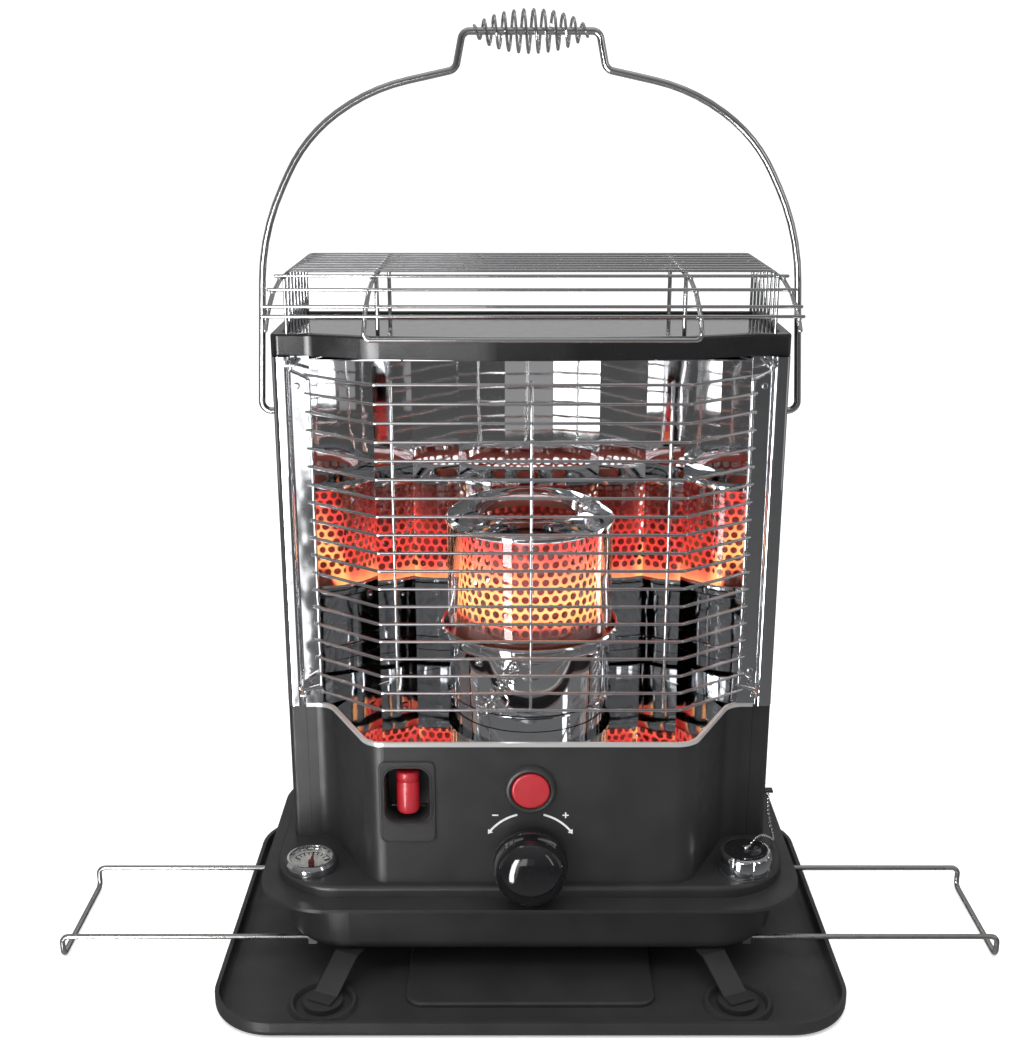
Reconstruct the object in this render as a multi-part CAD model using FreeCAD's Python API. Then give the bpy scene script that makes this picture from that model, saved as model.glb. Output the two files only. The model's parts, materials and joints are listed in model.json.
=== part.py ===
import FreeCAD, Part
import math
import os

os.makedirs("parts", exist_ok=True)
V = FreeCAD.Vector

# Portable radiant kerosene heater. Millimetres, +Z up, +Y to the back, +X to the
# viewer's right. The origin is on the floor under the middle of the drip tray.

# ---------------------------------------------------------------- driving dimensions
SHEET = 1.0

TRAY_WIDTH = 445.0
TRAY_DEPTH = 290.0
TRAY_CORNER = 45.0
TRAY_RIM = 12.0
CUP_X, CUP_Y = 146.0, 108.0
CUP_RADIUS = 25.0

TANK_X = 180.0
TANK_FRONT, TANK_BACK = -76.0, 122.0
TANK_CORNER = 50.0
TANK_BOTTOM, TANK_SEAM, TANK_TOP = 22.0, 60.0, 70.0
FLANGE_X = 198.0
FLANGE_FRONT, FLANGE_BACK = -84.0, 134.0
SHOULDER_X = 188.0
SHOULDER_FRONT, SHOULDER_BACK = -68.0, 120.0

CABINET_X = 180.0
CABINET_FRONT, CABINET_BACK = 8.0, 118.0
BAND_BOTTOM, BAND_TOP = 441.0, 456.0
BAND_SIDE_FRONT, BAND_SHELF, BAND_FRONT = 5.0, -8.5, -15.5
BAND_KNEE_X, BAND_SHELF_X, BAND_CREST_X = 153.5, 110.0, 30.0

PANEL_TOP = 177.5
PANEL_FACE = -62.0
PANEL_RETURN = 7.0
PANEL_FLAT_X = 114.0
PANEL_ROOT_X = 149.0
PANEL_END_X = 166.2

POST_X = (166.5, 179.0)
POST_FRONT = 0.0
POST_BOTTOM = 181.0
POST_FLANGE_X, POST_FLANGE_Y = 153.5, 5.5

BURNER_Y = 33.0
SEAT_Z = 184.0
FLOOR_Z = 170.0

KNOB_Z = 90.0
KNOB_RADIUS = 25.4
BUTTON_Z = 145.0
WINDOW_X, WINDOW_Z = -87.0, 140.0

PINION_RADIUS = 6.0
PINION_TEETH = 8

GUARD_FRONT, GUARD_SIDE = -50.0, -15.0
GUARD_FLAT_X, GUARD_END_X = 104.3, 152.4
GUARD_BOTTOM, GUARD_PITCH, GUARD_COUNT = 200.0, 12.86, 19
GUARD_WIRE = 1.1
GUARD_PIN = 1.3
HINGE_X, HINGE_Y = -164.5, -6.0

TOP_GUARD_Z = 499.0
TOP_GUARD_X = 168.0
TOP_GUARD_BACK, TOP_GUARD_PITCH, TOP_GUARD_COUNT = 113.0, 15.1, 8
TOP_PLATE_Z = 453.0

HANDLE_Y, HANDLE_Z = 64.0, 390.0
HANDLE_WIRE = 2.5
HANDLE_LEG_X = 198.0
GRIP_Z = 655.0

LOOP_WIRE = 2.0
LOOP_X = 346.0
LOOP_INNER_X = 125.0
LOOP_Y = (-50.0, 48.0)
LOOP_Z = 18.0

GAUGE_X, GAUGE_Y = -161.0, -38.0
CAP_X, CAP_Y = 158.0, -42.0
NECK_RADIUS, NECK_WALL = 15.0, 1.8


# ---------------------------------------------------------------- shape helpers
def box(x, y, z):
    return Part.makeBox(x[1] - x[0], y[1] - y[0], z[1] - z[0], V(x[0], y[0], z[0]))


def disc(x, y, radius, z):
    return Part.makeCylinder(radius, z[1] - z[0], V(x, y, z[0]))


def ring(x, y, outer, inner, z):
    return disc(x, y, outer, z).cut(disc(x, y, inner, z))


def rod(start, end, radius):
    start, end = V(*start), V(*end)
    return Part.makeCylinder(radius, (end - start).Length, start, end - start)


def rounded_edges(points, radii, closed=False):
    """Edges through the points, with a tangent arc at each corner that has a radius."""
    points = [V(*p) for p in points]
    count = len(points)
    if not isinstance(radii, (list, tuple)):
        radii = [radii] * count
    corners = {}
    for i in range(count) if closed else range(1, count - 1):
        before, here, after = points[i - 1], points[i], points[(i + 1) % count]
        back, on = (before - here).normalize(), (after - here).normalize()
        half = back.getAngle(on) / 2
        if radii[i] <= 0 or abs(half - math.pi / 2) < 1e-6:
            continue
        cut = radii[i] / math.tan(half)
        centre = here + (back + on).normalize() * (radii[i] / math.sin(half))
        middle = centre + (here - centre).normalize() * radii[i]
        corners[i] = (here + back * cut, middle, here + on * cut)
    edges = []
    for i in range(count if closed else count - 1):
        j = (i + 1) % count
        start = corners[i][2] if i in corners else points[i]
        end = corners[j][0] if j in corners else points[j]
        if (end - start).Length > 1e-6:
            edges.append(Part.LineSegment(start, end).toShape())
        if j in corners:
            edges.append(Part.Arc(*corners[j]).toShape())
    return edges


def wire_rod(points, radius, bends):
    """Round wire along straight runs joined by bends."""
    path = Part.Wire(rounded_edges(points, bends))
    start, towards = V(*points[0]), V(*points[1])
    profile = Part.Wire(Part.Circle(start, towards - start, radius).toShape())
    return path.makePipeShell([profile], True, False)


def prism(points, radii, z):
    """Upright solid on a closed outline with rounded corners."""
    outline = [(x, y, z[0]) for x, y in points]
    face = Part.Face(Part.Wire(rounded_edges(outline, radii, closed=True)))
    return face.extrude(V(0, 0, z[1] - z[0]))


def rectangle(x, y):
    return [(x[0], y[0]), (x[1], y[0]), (x[1], y[1]), (x[0], y[1])]


def rounded_box(x, y, corner, z):
    return prism(rectangle(x, y), corner, z)


def side_points(points, gap):
    """The polyline moved to the left of its direction by gap, with mitred corners."""
    moved = []
    for i, point in enumerate(points):
        here = V(*point, 0)
        normals = []
        if i > 0:
            along = (here - V(*points[i - 1], 0)).normalize()
            normals.append(V(-along.y, along.x, 0))
        if i < len(points) - 1:
            along = (V(*points[i + 1], 0) - here).normalize()
            normals.append(V(-along.y, along.x, 0))
        mid = sum(normals[1:], normals[0]).normalize()
        shift = mid * (gap / mid.dot(normals[0]))
        moved.append((here.x + shift.x, here.y + shift.y))
    return moved


def turns_left(points, i):
    a, b, c = (V(*points[k], 0) for k in (i - 1, i, i + 1))
    return (b - a).cross(c - b).z > 0


def wall(points, radii, thickness, z):
    """Folded upright sheet: the polyline is its right face, thickness goes left."""
    inner = side_points(points, thickness)
    inner_radii = list(radii)
    for i in range(1, len(points) - 1):
        if radii[i] > 0:
            change = -thickness if turns_left(points, i) else thickness
            inner_radii[i] = max(radii[i] + change, 0)
    return prism(points + inner[::-1], list(radii) + inner_radii[::-1], z)


def revolved(profile, x, y):
    """Solid of revolution of (radius, z) points about the upright axis at x, y."""
    outline = [V(x + r, y, z) for r, z in profile]
    face = Part.Face(Part.makePolygon(outline + outline[:1]))
    return face.revolve(V(x, y, 0), V(0, 0, 1), 360)


def mirrored(points):
    return [(-x, *rest) for x, *rest in reversed(points)]


def save(name, *solids):
    parts = [piece for solid in solids for piece in solid.Solids]
    for piece in parts:
        if not piece.isValid() or piece.Volume <= 0:
            print("bad solid in", name)
    shape = parts[0] if len(parts) == 1 else Part.makeCompound(parts)
    shape.exportStep("parts/%s.step" % name)
    print("%-22s %3d solids %10.0f mm3" % (name, len(parts), sum(p.Volume for p in parts)))


def ease(solid, z, radius, tolerance=0.01):
    """Rounds the edges of a solid that lie wholly at height z."""
    edges = [e for e in solid.Edges if all(abs(v.Z - z) < tolerance for v in e.Vertexes)
             and abs(e.BoundBox.ZLength) < tolerance]
    return solid.makeFillet(radius, edges)


# ---------------------------------------------------------------- tray and legs
def drip_tray():
    x, y = TRAY_WIDTH / 2, TRAY_DEPTH / 2
    lip = 3.0
    outer = ease(rounded_box((-x, x), (-y, y), TRAY_CORNER, (0, TRAY_RIM)), 0, 5)
    inner_x, inner_y = x - lip, y - lip
    inner = rounded_box((-inner_x, inner_x), (-inner_y, inner_y), TRAY_CORNER - lip, (SHEET, TRAY_RIM))
    tray = outer.cut(ease(inner, SHEET, 4))
    dais = rounded_box((-88, 88), (-112, 96), 12, (SHEET / 2, 4.5))
    tray = tray.fuse(ease(dais, 4.5, 2))
    for sx in (-1, 1):
        for sy in (-1, 1):
            cup = revolved([(CUP_RADIUS - 6, 0.6), (CUP_RADIUS, 0.6), (CUP_RADIUS - 2, 4.5),
                            (CUP_RADIUS - 4, 4.5)], sx * CUP_X, sy * CUP_Y)
            tray = tray.fuse(cup)
    save("drip_tray", tray.removeSplitter())


def support_legs():
    """Bent strips from the tank's underside out to round feet in the tray's cups."""
    strip, half_width = 1.8, 9.0
    foot_radius, foot_top = 14.0, 5.0
    start_x, start_y = 132.0, 76.0
    reach = math.hypot(CUP_X - start_x, CUP_Y - start_y)
    side = [(-9, TANK_BOTTOM - strip), (0, TANK_BOTTOM - strip), (reach - 5, foot_top),
            (reach + 6, foot_top), (reach + 6, foot_top + strip), (reach - 4, foot_top + strip),
            (1, TANK_BOTTOM), (-9, TANK_BOTTOM)]
    legs = []
    for sx in (-1, 1):
        for sy in (-1, 1):
            along = V(sx * (CUP_X - start_x), sy * (CUP_Y - start_y), 0).normalize()
            across = V(-along.y, along.x, 0) * half_width
            root = V(sx * start_x, sy * start_y, 0)
            outline = [root + along * s + V(0, 0, z) - across for s, z in side]
            strip_solid = Part.Face(Part.makePolygon(outline + outline[:1])).extrude(across * 2)
            foot = disc(sx * CUP_X, sy * CUP_Y, foot_radius, (SHEET, foot_top))
            legs.append(strip_solid.fuse(foot).removeSplitter())
    save("support_legs", *legs)


# ---------------------------------------------------------------- fuel tank
def tank_block(x, front, back, inset, z):
    """Rounded block on one of the tank's outlines, moved inwards by inset."""
    return rounded_box((inset - x, x - inset), (front + inset, back - inset), TANK_CORNER - inset, z)


def body_block(inset, z):
    return tank_block(TANK_X, TANK_FRONT, TANK_BACK, inset, z)


def shoulder_block(inset, z):
    return tank_block(SHOULDER_X, SHOULDER_FRONT, SHOULDER_BACK, inset, z)


def flange_block(z):
    return tank_block(FLANGE_X, FLANGE_FRONT, FLANGE_BACK, 0, z)


def tank_shells():
    lower = ease(body_block(0, (TANK_BOTTOM, TANK_SEAM)), TANK_BOTTOM, 9)
    hollow = ease(body_block(2, (TANK_BOTTOM + SHEET, TANK_SEAM)), TANK_BOTTOM + SHEET, 8)
    lip = (TANK_SEAM - 1.2, TANK_SEAM)
    rim = flange_block(lip).cut(body_block(2, lip))
    air_hole = disc(0, BURNER_Y, 31.5, (0, TANK_TOP + 5))
    save("tank_lower_shell", lower.cut(hollow).fuse(rim).cut(air_hole).removeSplitter())

    upper = ease(shoulder_block(0, (TANK_SEAM, TANK_TOP)), TANK_TOP, 3)
    under = ease(shoulder_block(1.6, (TANK_SEAM, TANK_TOP - SHEET)), TANK_TOP - SHEET, 1.5)
    lip = (TANK_SEAM, TANK_SEAM + 1.4)
    rim = flange_block(lip).cut(shoulder_block(1.6, lip))
    upper = upper.cut(under).fuse(rim)
    wick_hole = disc(0, BURNER_Y, 38.0, (0, TANK_TOP + 5))
    neck_hole = disc(CAP_X, CAP_Y, NECK_RADIUS, (0, TANK_TOP + 5))
    gauge_hole = disc(GAUGE_X, GAUGE_Y, 13.9, (0, TANK_TOP + 5))
    upper = upper.cut(wick_hole).cut(neck_hole).cut(gauge_hole)
    save("tank_upper_shell", upper.removeSplitter())


def filler():
    top = TANK_TOP + 6
    inner = NECK_RADIUS - NECK_WALL
    neck = ring(CAP_X, CAP_Y, NECK_RADIUS, inner, (TANK_TOP - 5, top))
    flange = ring(CAP_X, CAP_Y, 19, NECK_RADIUS, (TANK_TOP, TANK_TOP + 0.8))
    save("filler_neck", neck.fuse(flange).removeSplitter())

    bottom, wall_inner = 27.0, inner - 1.1
    cup = disc(CAP_X, CAP_Y, inner - 0.3, (bottom, top))
    cup = cup.cut(disc(CAP_X, CAP_Y, wall_inner, (bottom + 0.8, top)))
    lip = ring(CAP_X, CAP_Y, NECK_RADIUS - 0.4, wall_inner, (top, top + 0.6))
    save("fuel_strainer", cup.fuse(lip).removeSplitter())


def fuel_cap():
    lobes, reach, dip = 14, 19.2, 1.1
    bottom, top, ceiling = TANK_TOP + 1.2, TANK_TOP + 16, TANK_TOP + 9
    body = disc(CAP_X, CAP_Y, reach, (bottom, top))
    for k in range(lobes):
        a = 2 * math.pi * k / lobes
        flute = disc(CAP_X + (reach + 2 - dip) * math.cos(a), CAP_Y + (reach + 2 - dip) * math.sin(a),
                     2.0, (bottom, top))
        body = body.cut(flute)
    body = body.cut(disc(CAP_X, CAP_Y, 17.2, (bottom, ceiling)))
    stud = disc(CAP_X, CAP_Y, 2.2, (top, top + 3))
    save("fuel_cap", body.fuse(stud).removeSplitter())
    save("cap_seal", ring(CAP_X, CAP_Y, 16.9, 10.5, (ceiling - 1.8, ceiling)))


def fuel_gauge():
    bezel = revolved([(3.0, 61.2), (13.8, 61.2), (13.8, TANK_TOP), (19.0, TANK_TOP), (19.0, 76.0),
                      (17.2, 78.0), (15.5, 78.0), (15.5, 76.3), (16.9, 76.3), (16.9, 75.0), (16.0, 75.0),
                      (16.0, 71.0), (12.9, 71.0), (12.9, 62.0), (3.0, 62.0)], GAUGE_X, GAUGE_Y)
    save("gauge_bezel", bezel)
    save("gauge_dial", ring(GAUGE_X, GAUGE_Y, 15.9, 1.3, (71.0, 71.6)))
    save("gauge_lens", disc(GAUGE_X, GAUGE_Y, 16.8, (75.1, 76.2)))

    pointer = prism([(GAUGE_X - 1.5, GAUGE_Y - 3), (GAUGE_X + 1.5, GAUGE_Y - 3),
                     (GAUGE_X + 0.4, GAUGE_Y + 11), (GAUGE_X - 0.4, GAUGE_Y + 11)], 0, (72.2, 72.8))
    hub = disc(GAUGE_X, GAUGE_Y, 2.2, (72.0, 73.4))
    spindle = disc(GAUGE_X, GAUGE_Y, 1.1, (63.0, 72.2))
    save("gauge_needle", pointer.fuse(hub).fuse(spindle).removeSplitter())

    pivot_y, pivot_z, float_y = GAUGE_Y + 8, 54.0, 44.0
    arm = rod((GAUGE_X, pivot_y, pivot_z), (GAUGE_X, float_y, 46), 1.2)
    axle = rod((GAUGE_X - 7, pivot_y, pivot_z), (GAUGE_X + 7, pivot_y, pivot_z), 1.5)
    cork = disc(GAUGE_X, float_y, 9, (39, 53))
    save("float_arm", arm.fuse(axle).fuse(cork).removeSplitter())


def stabilisers():
    bend = 5.0
    for name, side in (("left_stabiliser", -1), ("right_stabiliser", 1)):
        inner, outer = side * LOOP_INNER_X, side * LOOP_X
        front, back = LOOP_Y
        floor = LOOP_WIRE + 0.2
        route = [(inner, front, LOOP_Z), (outer, front, LOOP_Z), (outer, front, floor),
                 (outer, back, floor), (outer, back, LOOP_Z), (inner, back, LOOP_Z)]
        save(name, wire_rod(route, LOOP_WIRE, bend))

    clips = []
    for side in (-1, 1):
        for x in (130.0, 160.0):
            for y in LOOP_Y:
                block = box((side * x - 3, side * x + 3), (y - 4, y + 4), (LOOP_Z - 3.5, TANK_BOTTOM))
                hole = rod((side * x - 4, y, LOOP_Z), (side * x + 4, y, LOOP_Z), LOOP_WIRE + 0.08)
                clips.append(block.cut(hole))
    save("loop_guides", *clips)


# ---------------------------------------------------------------- cabinet
def side_panels():
    z = (TANK_TOP, BAND_BOTTOM)
    corner = 4.0
    points = [(POST_X[0], CABINET_FRONT), (CABINET_X, CABINET_FRONT), (CABINET_X, CABINET_BACK - SHEET)]
    pivot = rod((-300, HANDLE_Y, HANDLE_Z), (300, HANDLE_Y, HANDLE_Z), 3.6)
    right = wall(points, [0, corner, 0], SHEET, z).cut(pivot)
    left = wall(mirrored(points), [0, corner, 0], SHEET, z).cut(pivot)
    eyelet = box((CABINET_X, 186.0), (11.0, 17.0), (104.0, 105.6))
    save("right_side_panel", right.fuse(eyelet))
    save("left_side_panel", left)


def back_panel():
    inside = CABINET_X - SHEET
    panel = box((-CABINET_X, CABINET_X), (CABINET_BACK - SHEET, CABINET_BACK), (TANK_TOP, BAND_BOTTOM))
    for x in (-106.0, 0.0, 106.0):
        for k in range(16):
            z = 148.0 + 17.0 * k
            panel = panel.cut(box((x - 38, x + 38), (CABINET_BACK - 2, CABINET_BACK + 1), (z, z + 4)))
    panel = panel.cut(box((-155, -25), (CABINET_BACK - 2, CABINET_BACK + 1), (76, 116)))
    stiffeners = [box((sx * inside - (1 + sx) * 4, sx * inside + (1 - sx) * 4),
                      (CABINET_BACK - 6, CABINET_BACK - SHEET), (TANK_TOP, BAND_BOTTOM - 2))
                  for sx in (-1, 1)]
    save("back_panel", panel.fuse(stiffeners).removeSplitter())


HALF_BAND = [(-CABINET_X, CABINET_BACK), (-CABINET_X, BAND_SIDE_FRONT), (-BAND_KNEE_X, BAND_SIDE_FRONT),
             (-BAND_SHELF_X, BAND_SHELF), (-BAND_CREST_X, BAND_FRONT)]
HALF_RADII = [6, 6, 20, 60, 150]


def shrunk(points, gap):
    """A closed outline, anticlockwise, moved inwards by gap."""
    loop = points[-1:] + points + points[:1]
    return side_points(loop, gap)[1:-1]


def top_cover():
    band = HALF_BAND + mirrored(HALF_BAND)
    corners = HALF_RADII + HALF_RADII[::-1]
    lip, inner_corner = 7.0, 5
    skirt = ease(prism(band, corners, (BAND_BOTTOM, BAND_TOP)), BAND_TOP, 1.5)
    bore = prism(shrunk(band, SHEET), inner_corner, (BAND_BOTTOM, TOP_PLATE_Z - SHEET))
    well = prism(shrunk(band, lip), inner_corner, (TOP_PLATE_Z - SHEET, BAND_TOP))
    save("top_cover", skirt.cut(bore).cut(well))
    plate = prism(shrunk(band, lip + 0.1), inner_corner, (TOP_PLATE_Z - SHEET, TOP_PLATE_Z))
    save("top_plate", plate)


BAY = [(-PANEL_END_X, PANEL_RETURN), (-PANEL_ROOT_X, PANEL_RETURN), (-PANEL_FLAT_X, PANEL_FACE),
       (PANEL_FLAT_X, PANEL_FACE), (PANEL_ROOT_X, PANEL_RETURN), (PANEL_END_X, PANEL_RETURN)]
BAY_RADII = [0, 16, 18, 18, 16, 0]


def front_panel():
    panel = wall(BAY, BAY_RADII, 1.2, (TANK_TOP, PANEL_TOP))
    through = (PANEL_FACE - 5, PANEL_FACE + 5)
    window = box((WINDOW_X - 16.2, WINDOW_X + 16.2), through, (WINDOW_Z - 21.7, WINDOW_Z + 21.7))
    button = rod((0, through[0], BUTTON_Z), (0, through[1], BUTTON_Z), 16.0)
    shaft = rod((0, through[0], KNOB_Z), (0, through[1], KNOB_Z), 7.0)
    save("front_panel", panel.cut(window).cut(button).cut(shaft))
    radii = [r + (0.5 if k in (2, 3) else -0.5) for k, r in enumerate(BAY_RADII)]
    outside = side_points(BAY, -0.5)
    save("panel_trim", wall(outside, [0] + radii[1:-1] + [0], 2.4, (PANEL_TOP, PANEL_TOP + 3)))


def posts():
    """Rounded trim down each side of the mouth, with a flat flange on its inner edge."""
    near, far = POST_X
    section = [(POST_FLANGE_X, POST_FLANGE_Y), (near, POST_FLANGE_Y), (near, POST_FRONT), (far, POST_FRONT),
               (far, CABINET_FRONT)]
    radii = [0, 0, 4, 5, 0]
    z = (POST_BOTTOM, BAND_BOTTOM)
    right = wall(section, radii, SHEET, z)
    left = wall(mirrored(section), radii[::-1], SHEET, z)
    lug_half, lug_thick, clearance = 3.5, 1.5, 0.06
    for low in (GUARD_BOTTOM - 7.5, BAND_BOTTOM - 5.0):
        y, lug_z = (HINGE_Y - lug_half, POST_FLANGE_Y + SHEET / 2), (low, low + lug_thick)
        lug = rounded_box((HINGE_X - lug_half, HINGE_X + lug_half), y, 0.5, lug_z)
        left = left.fuse(lug.cut(disc(HINGE_X, HINGE_Y, GUARD_PIN + clearance, (low - 1, low + 3))))
        catch_x = -HINGE_X
        lug = rounded_box((catch_x - lug_half, catch_x + lug_half), y, 0.5, lug_z)
        notch = box((catch_x - 1.9, catch_x + 1.9), (HINGE_Y - 5, HINGE_Y + 1.9), (low - 1, low + 3))
        right = right.fuse(lug.cut(notch))
    save("left_post", left)
    save("right_post", right)


# ---------------------------------------------------------------- reflector
MIRROR = [(-160.0, 10.0), (-138.0, 38.0), (-116.6, 66.0), (-89.6, 90.0), (-54.5, 105.0), (-18.7, 110.0),
          (18.7, 110.0), (54.5, 105.0), (89.6, 90.0), (116.6, 66.0), (138.0, 38.0), (160.0, 10.0)]


def reflector():
    foil, top = 0.8, BAND_BOTTOM - 4.0
    path = MIRROR[::-1]
    save("rear_reflector", wall(path, [0] * len(path), foil, (FLOOR_Z + 1.2, top)))

    front = side_points(BAY, 2.0)[1:-1]
    back = side_points(path, foil)
    outline = front + [(150.0, 9.5)] + back[1:-1] + [(-150.0, 9.5)]
    pan = prism(outline, [0, 16, 16, 0] + [0] * (len(outline) - 4), (FLOOR_Z, FLOOR_Z + 1.0))
    save("reflector_floor", pan.cut(disc(0, BURNER_Y, 58.0, (FLOOR_Z - 1, FLOOR_Z + 3))))
    lid = [(-150.0, 6.0), (150.0, 6.0)] + back[1:-1]
    save("ceiling_reflector", prism(lid, 0, (top + 0.4, top + 1.2)))


# ---------------------------------------------------------------- burner and wick
def wick_parts():
    gallery = revolved([(37.0, TANK_TOP), (52.0, TANK_TOP), (52.0, TANK_TOP + 1.5), (38.0, TANK_TOP + 1.5),
                        (38.0, SEAT_Z - 1), (56.0, SEAT_Z - 1), (56.0, FLOOR_Z + 1.2), (57.2, FLOOR_Z + 1.2),
                        (57.2, SEAT_Z - 1), (62.0, SEAT_Z - 1), (62.0, SEAT_Z), (37.0, SEAT_Z)], 0, BURNER_Y)
    rack_slot = box((-15, -5), (-8, 4), (KNOB_Z - 6, KNOB_Z + 30))
    save("wick_gallery", gallery.cut(rack_slot))
    save("draught_tube", ring(0, BURNER_Y, 31.5, 30.5, (TANK_BOTTOM, SEAT_Z - 2)))
    nuts = []
    for k in range(4):
        a = math.radians(45 + 90 * k)
        x, y = 46 * math.cos(a), BURNER_Y + 46 * math.sin(a)
        hexagon = [(x + 4 * math.cos(b), y + 4 * math.sin(b)) for b in
                   (math.radians(60 * n) for n in range(6))]
        nut = prism(hexagon, 0, (TANK_TOP + 1.5, TANK_TOP + 5))
        stud = disc(x, y, 2.0, (TANK_TOP + 5, TANK_TOP + 9))
        nuts.append(nut.fuse(stud))
    save("gallery_nuts", *nuts)

    save("wick", ring(0, BURNER_Y, 35.6, 32.4, (50.0, SEAT_Z + 6)))
    holder = ring(0, BURNER_Y, 36.5, 35.6, (KNOB_Z + 4, KNOB_Z + 34))
    pitch = 2 * math.pi * PINION_RADIUS / PINION_TEETH
    back_x, root_x, tip_x = -12.0, -PINION_RADIUS - 2.0, -PINION_RADIUS + 1.2
    rack_y = (-14.0, -8.0)
    rack = box((back_x, root_x), rack_y, (KNOB_Z - 7, KNOB_Z + 18))
    for k in range(-1, 4):
        z = KNOB_Z + k * pitch
        tooth = [V(root_x, rack_y[0], z - 1.2), V(tip_x, rack_y[0], z - 0.35),
                 V(tip_x, rack_y[0], z + 0.35), V(root_x, rack_y[0], z + 1.2)]
        rack = rack.fuse(Part.Face(Part.makePolygon(tooth + tooth[:1])).extrude(V(0, 6, 0)))
    arm = box((back_x, root_x), (rack_y[0], -2.2), (KNOB_Z + 8, KNOB_Z + 18))
    save("wick_holder", holder.fuse(rack).fuse(arm).removeSplitter())


def knob_and_shaft():
    root, tip = PINION_RADIUS - 1.6, PINION_RADIUS + 1.2
    gear = rod((0, -14, KNOB_Z), (0, -8, KNOB_Z), root)
    for k in range(PINION_TEETH):
        a = 2 * math.pi * (k + 0.5) / PINION_TEETH
        out, across = V(math.cos(a), 0, math.sin(a)), V(-math.sin(a), 0, math.cos(a))
        base = V(0, -14, KNOB_Z)
        tooth = [base + out * (root - 0.5) - across * 1.1, base + out * tip - across * 0.35,
                 base + out * tip + across * 0.35, base + out * (root - 0.5) + across * 1.1]
        gear = gear.fuse(Part.Face(Part.makePolygon(tooth + tooth[:1])).extrude(V(0, 6, 0)))
    shaft = rod((0, -82, KNOB_Z), (0, -8, KNOB_Z), 3.5)
    save("knob_shaft", shaft.fuse(gear).removeSplitter())

    front, back = PANEL_FACE - 34.0, PANEL_FACE - 7.0
    profile = [(0.0, front), (14.0, front + 0.8), (20.5, front + 4.0), (KNOB_RADIUS - 1, front + 10),
               (KNOB_RADIUS, front + 18), (KNOB_RADIUS, back - 4), (26.6, back - 3), (26.6, back),
               (0.0, back)]
    outline = [V(r, y, KNOB_Z) for r, y in profile]
    knob = Part.Face(Part.makePolygon(outline + outline[:1])).revolve(V(0, 0, KNOB_Z), V(0, 1, 0), 360)
    save("wick_knob", knob.cut(rod((0, -82, KNOB_Z), (0, 0, KNOB_Z), 3.5)))

    bush = rod((0, PANEL_FACE - 1.4, KNOB_Z), (0, PANEL_FACE + 4, KNOB_Z), 6.9)
    collar = rod((0, PANEL_FACE - 2.4, KNOB_Z), (0, PANEL_FACE, KNOB_Z), 10.0)
    bore = rod((0, PANEL_FACE - 10, KNOB_Z), (0, PANEL_FACE + 10, KNOB_Z), 3.56)
    save("shaft_bush", bush.fuse(collar).removeSplitter().cut(bore))


def burner():
    bottom = SEAT_Z + 0.4
    base = revolved([(40.0, bottom), (60.0, bottom), (60.0, 227.0), (64.5, 227.0), (66.4, 229.0),
                     (66.4, 236.5), (65.0, 238.0), (63.8, 236.5), (63.8, 230.0), (62.0, 229.0), (49.0, 229.0),
                     (49.0, 228.0), (58.8, 228.0), (58.8, bottom + 1), (40.0, bottom + 1)], 0, BURNER_Y)
    save("burner_base", base)
    save("emitter_cylinder", ring(0, BURNER_Y, 53.0, 52.2, (229.0, 314.0)))
    save("glass_chimney", ring(0, BURNER_Y, 60.9, 59.1, (229.0, 318.0)))
    top = revolved([(59.0, 318.0), (59.0, 314.0), (58.0, 314.0), (58.0, 318.6), (46.0, 326.5), (40.0, 324.0),
                    (40.0, 314.0), (39.0, 314.0), (39.0, 325.0), (45.6, 328.0), (52.0, 326.0), (60.0, 321.0),
                    (62.2, 318.0), (62.2, 316.0), (61.2, 316.0), (61.2, 318.0)], 0, BURNER_Y)
    save("burner_top_ring", top)
    flame = ring(0, BURNER_Y, 29.6, 28.8, (190.0, 300.0)).fuse(disc(0, BURNER_Y, 36.0, (300.0, 302.0)))
    reach = 58.4 * math.cos(math.pi / 4)
    cross_pin = rod((-reach, BURNER_Y - reach, 205.0), (reach, BURNER_Y + reach, 205.0), 1.5)
    save("inner_flame_tube", flame.fuse(cross_pin).removeSplitter())
    save("burner_knob", rod((-13.0, -26.0, 212.5), (-31.0, -36.5, 190.0), 5.5).cut(
        disc(0, BURNER_Y, 60.0, (150, 250))))


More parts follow.
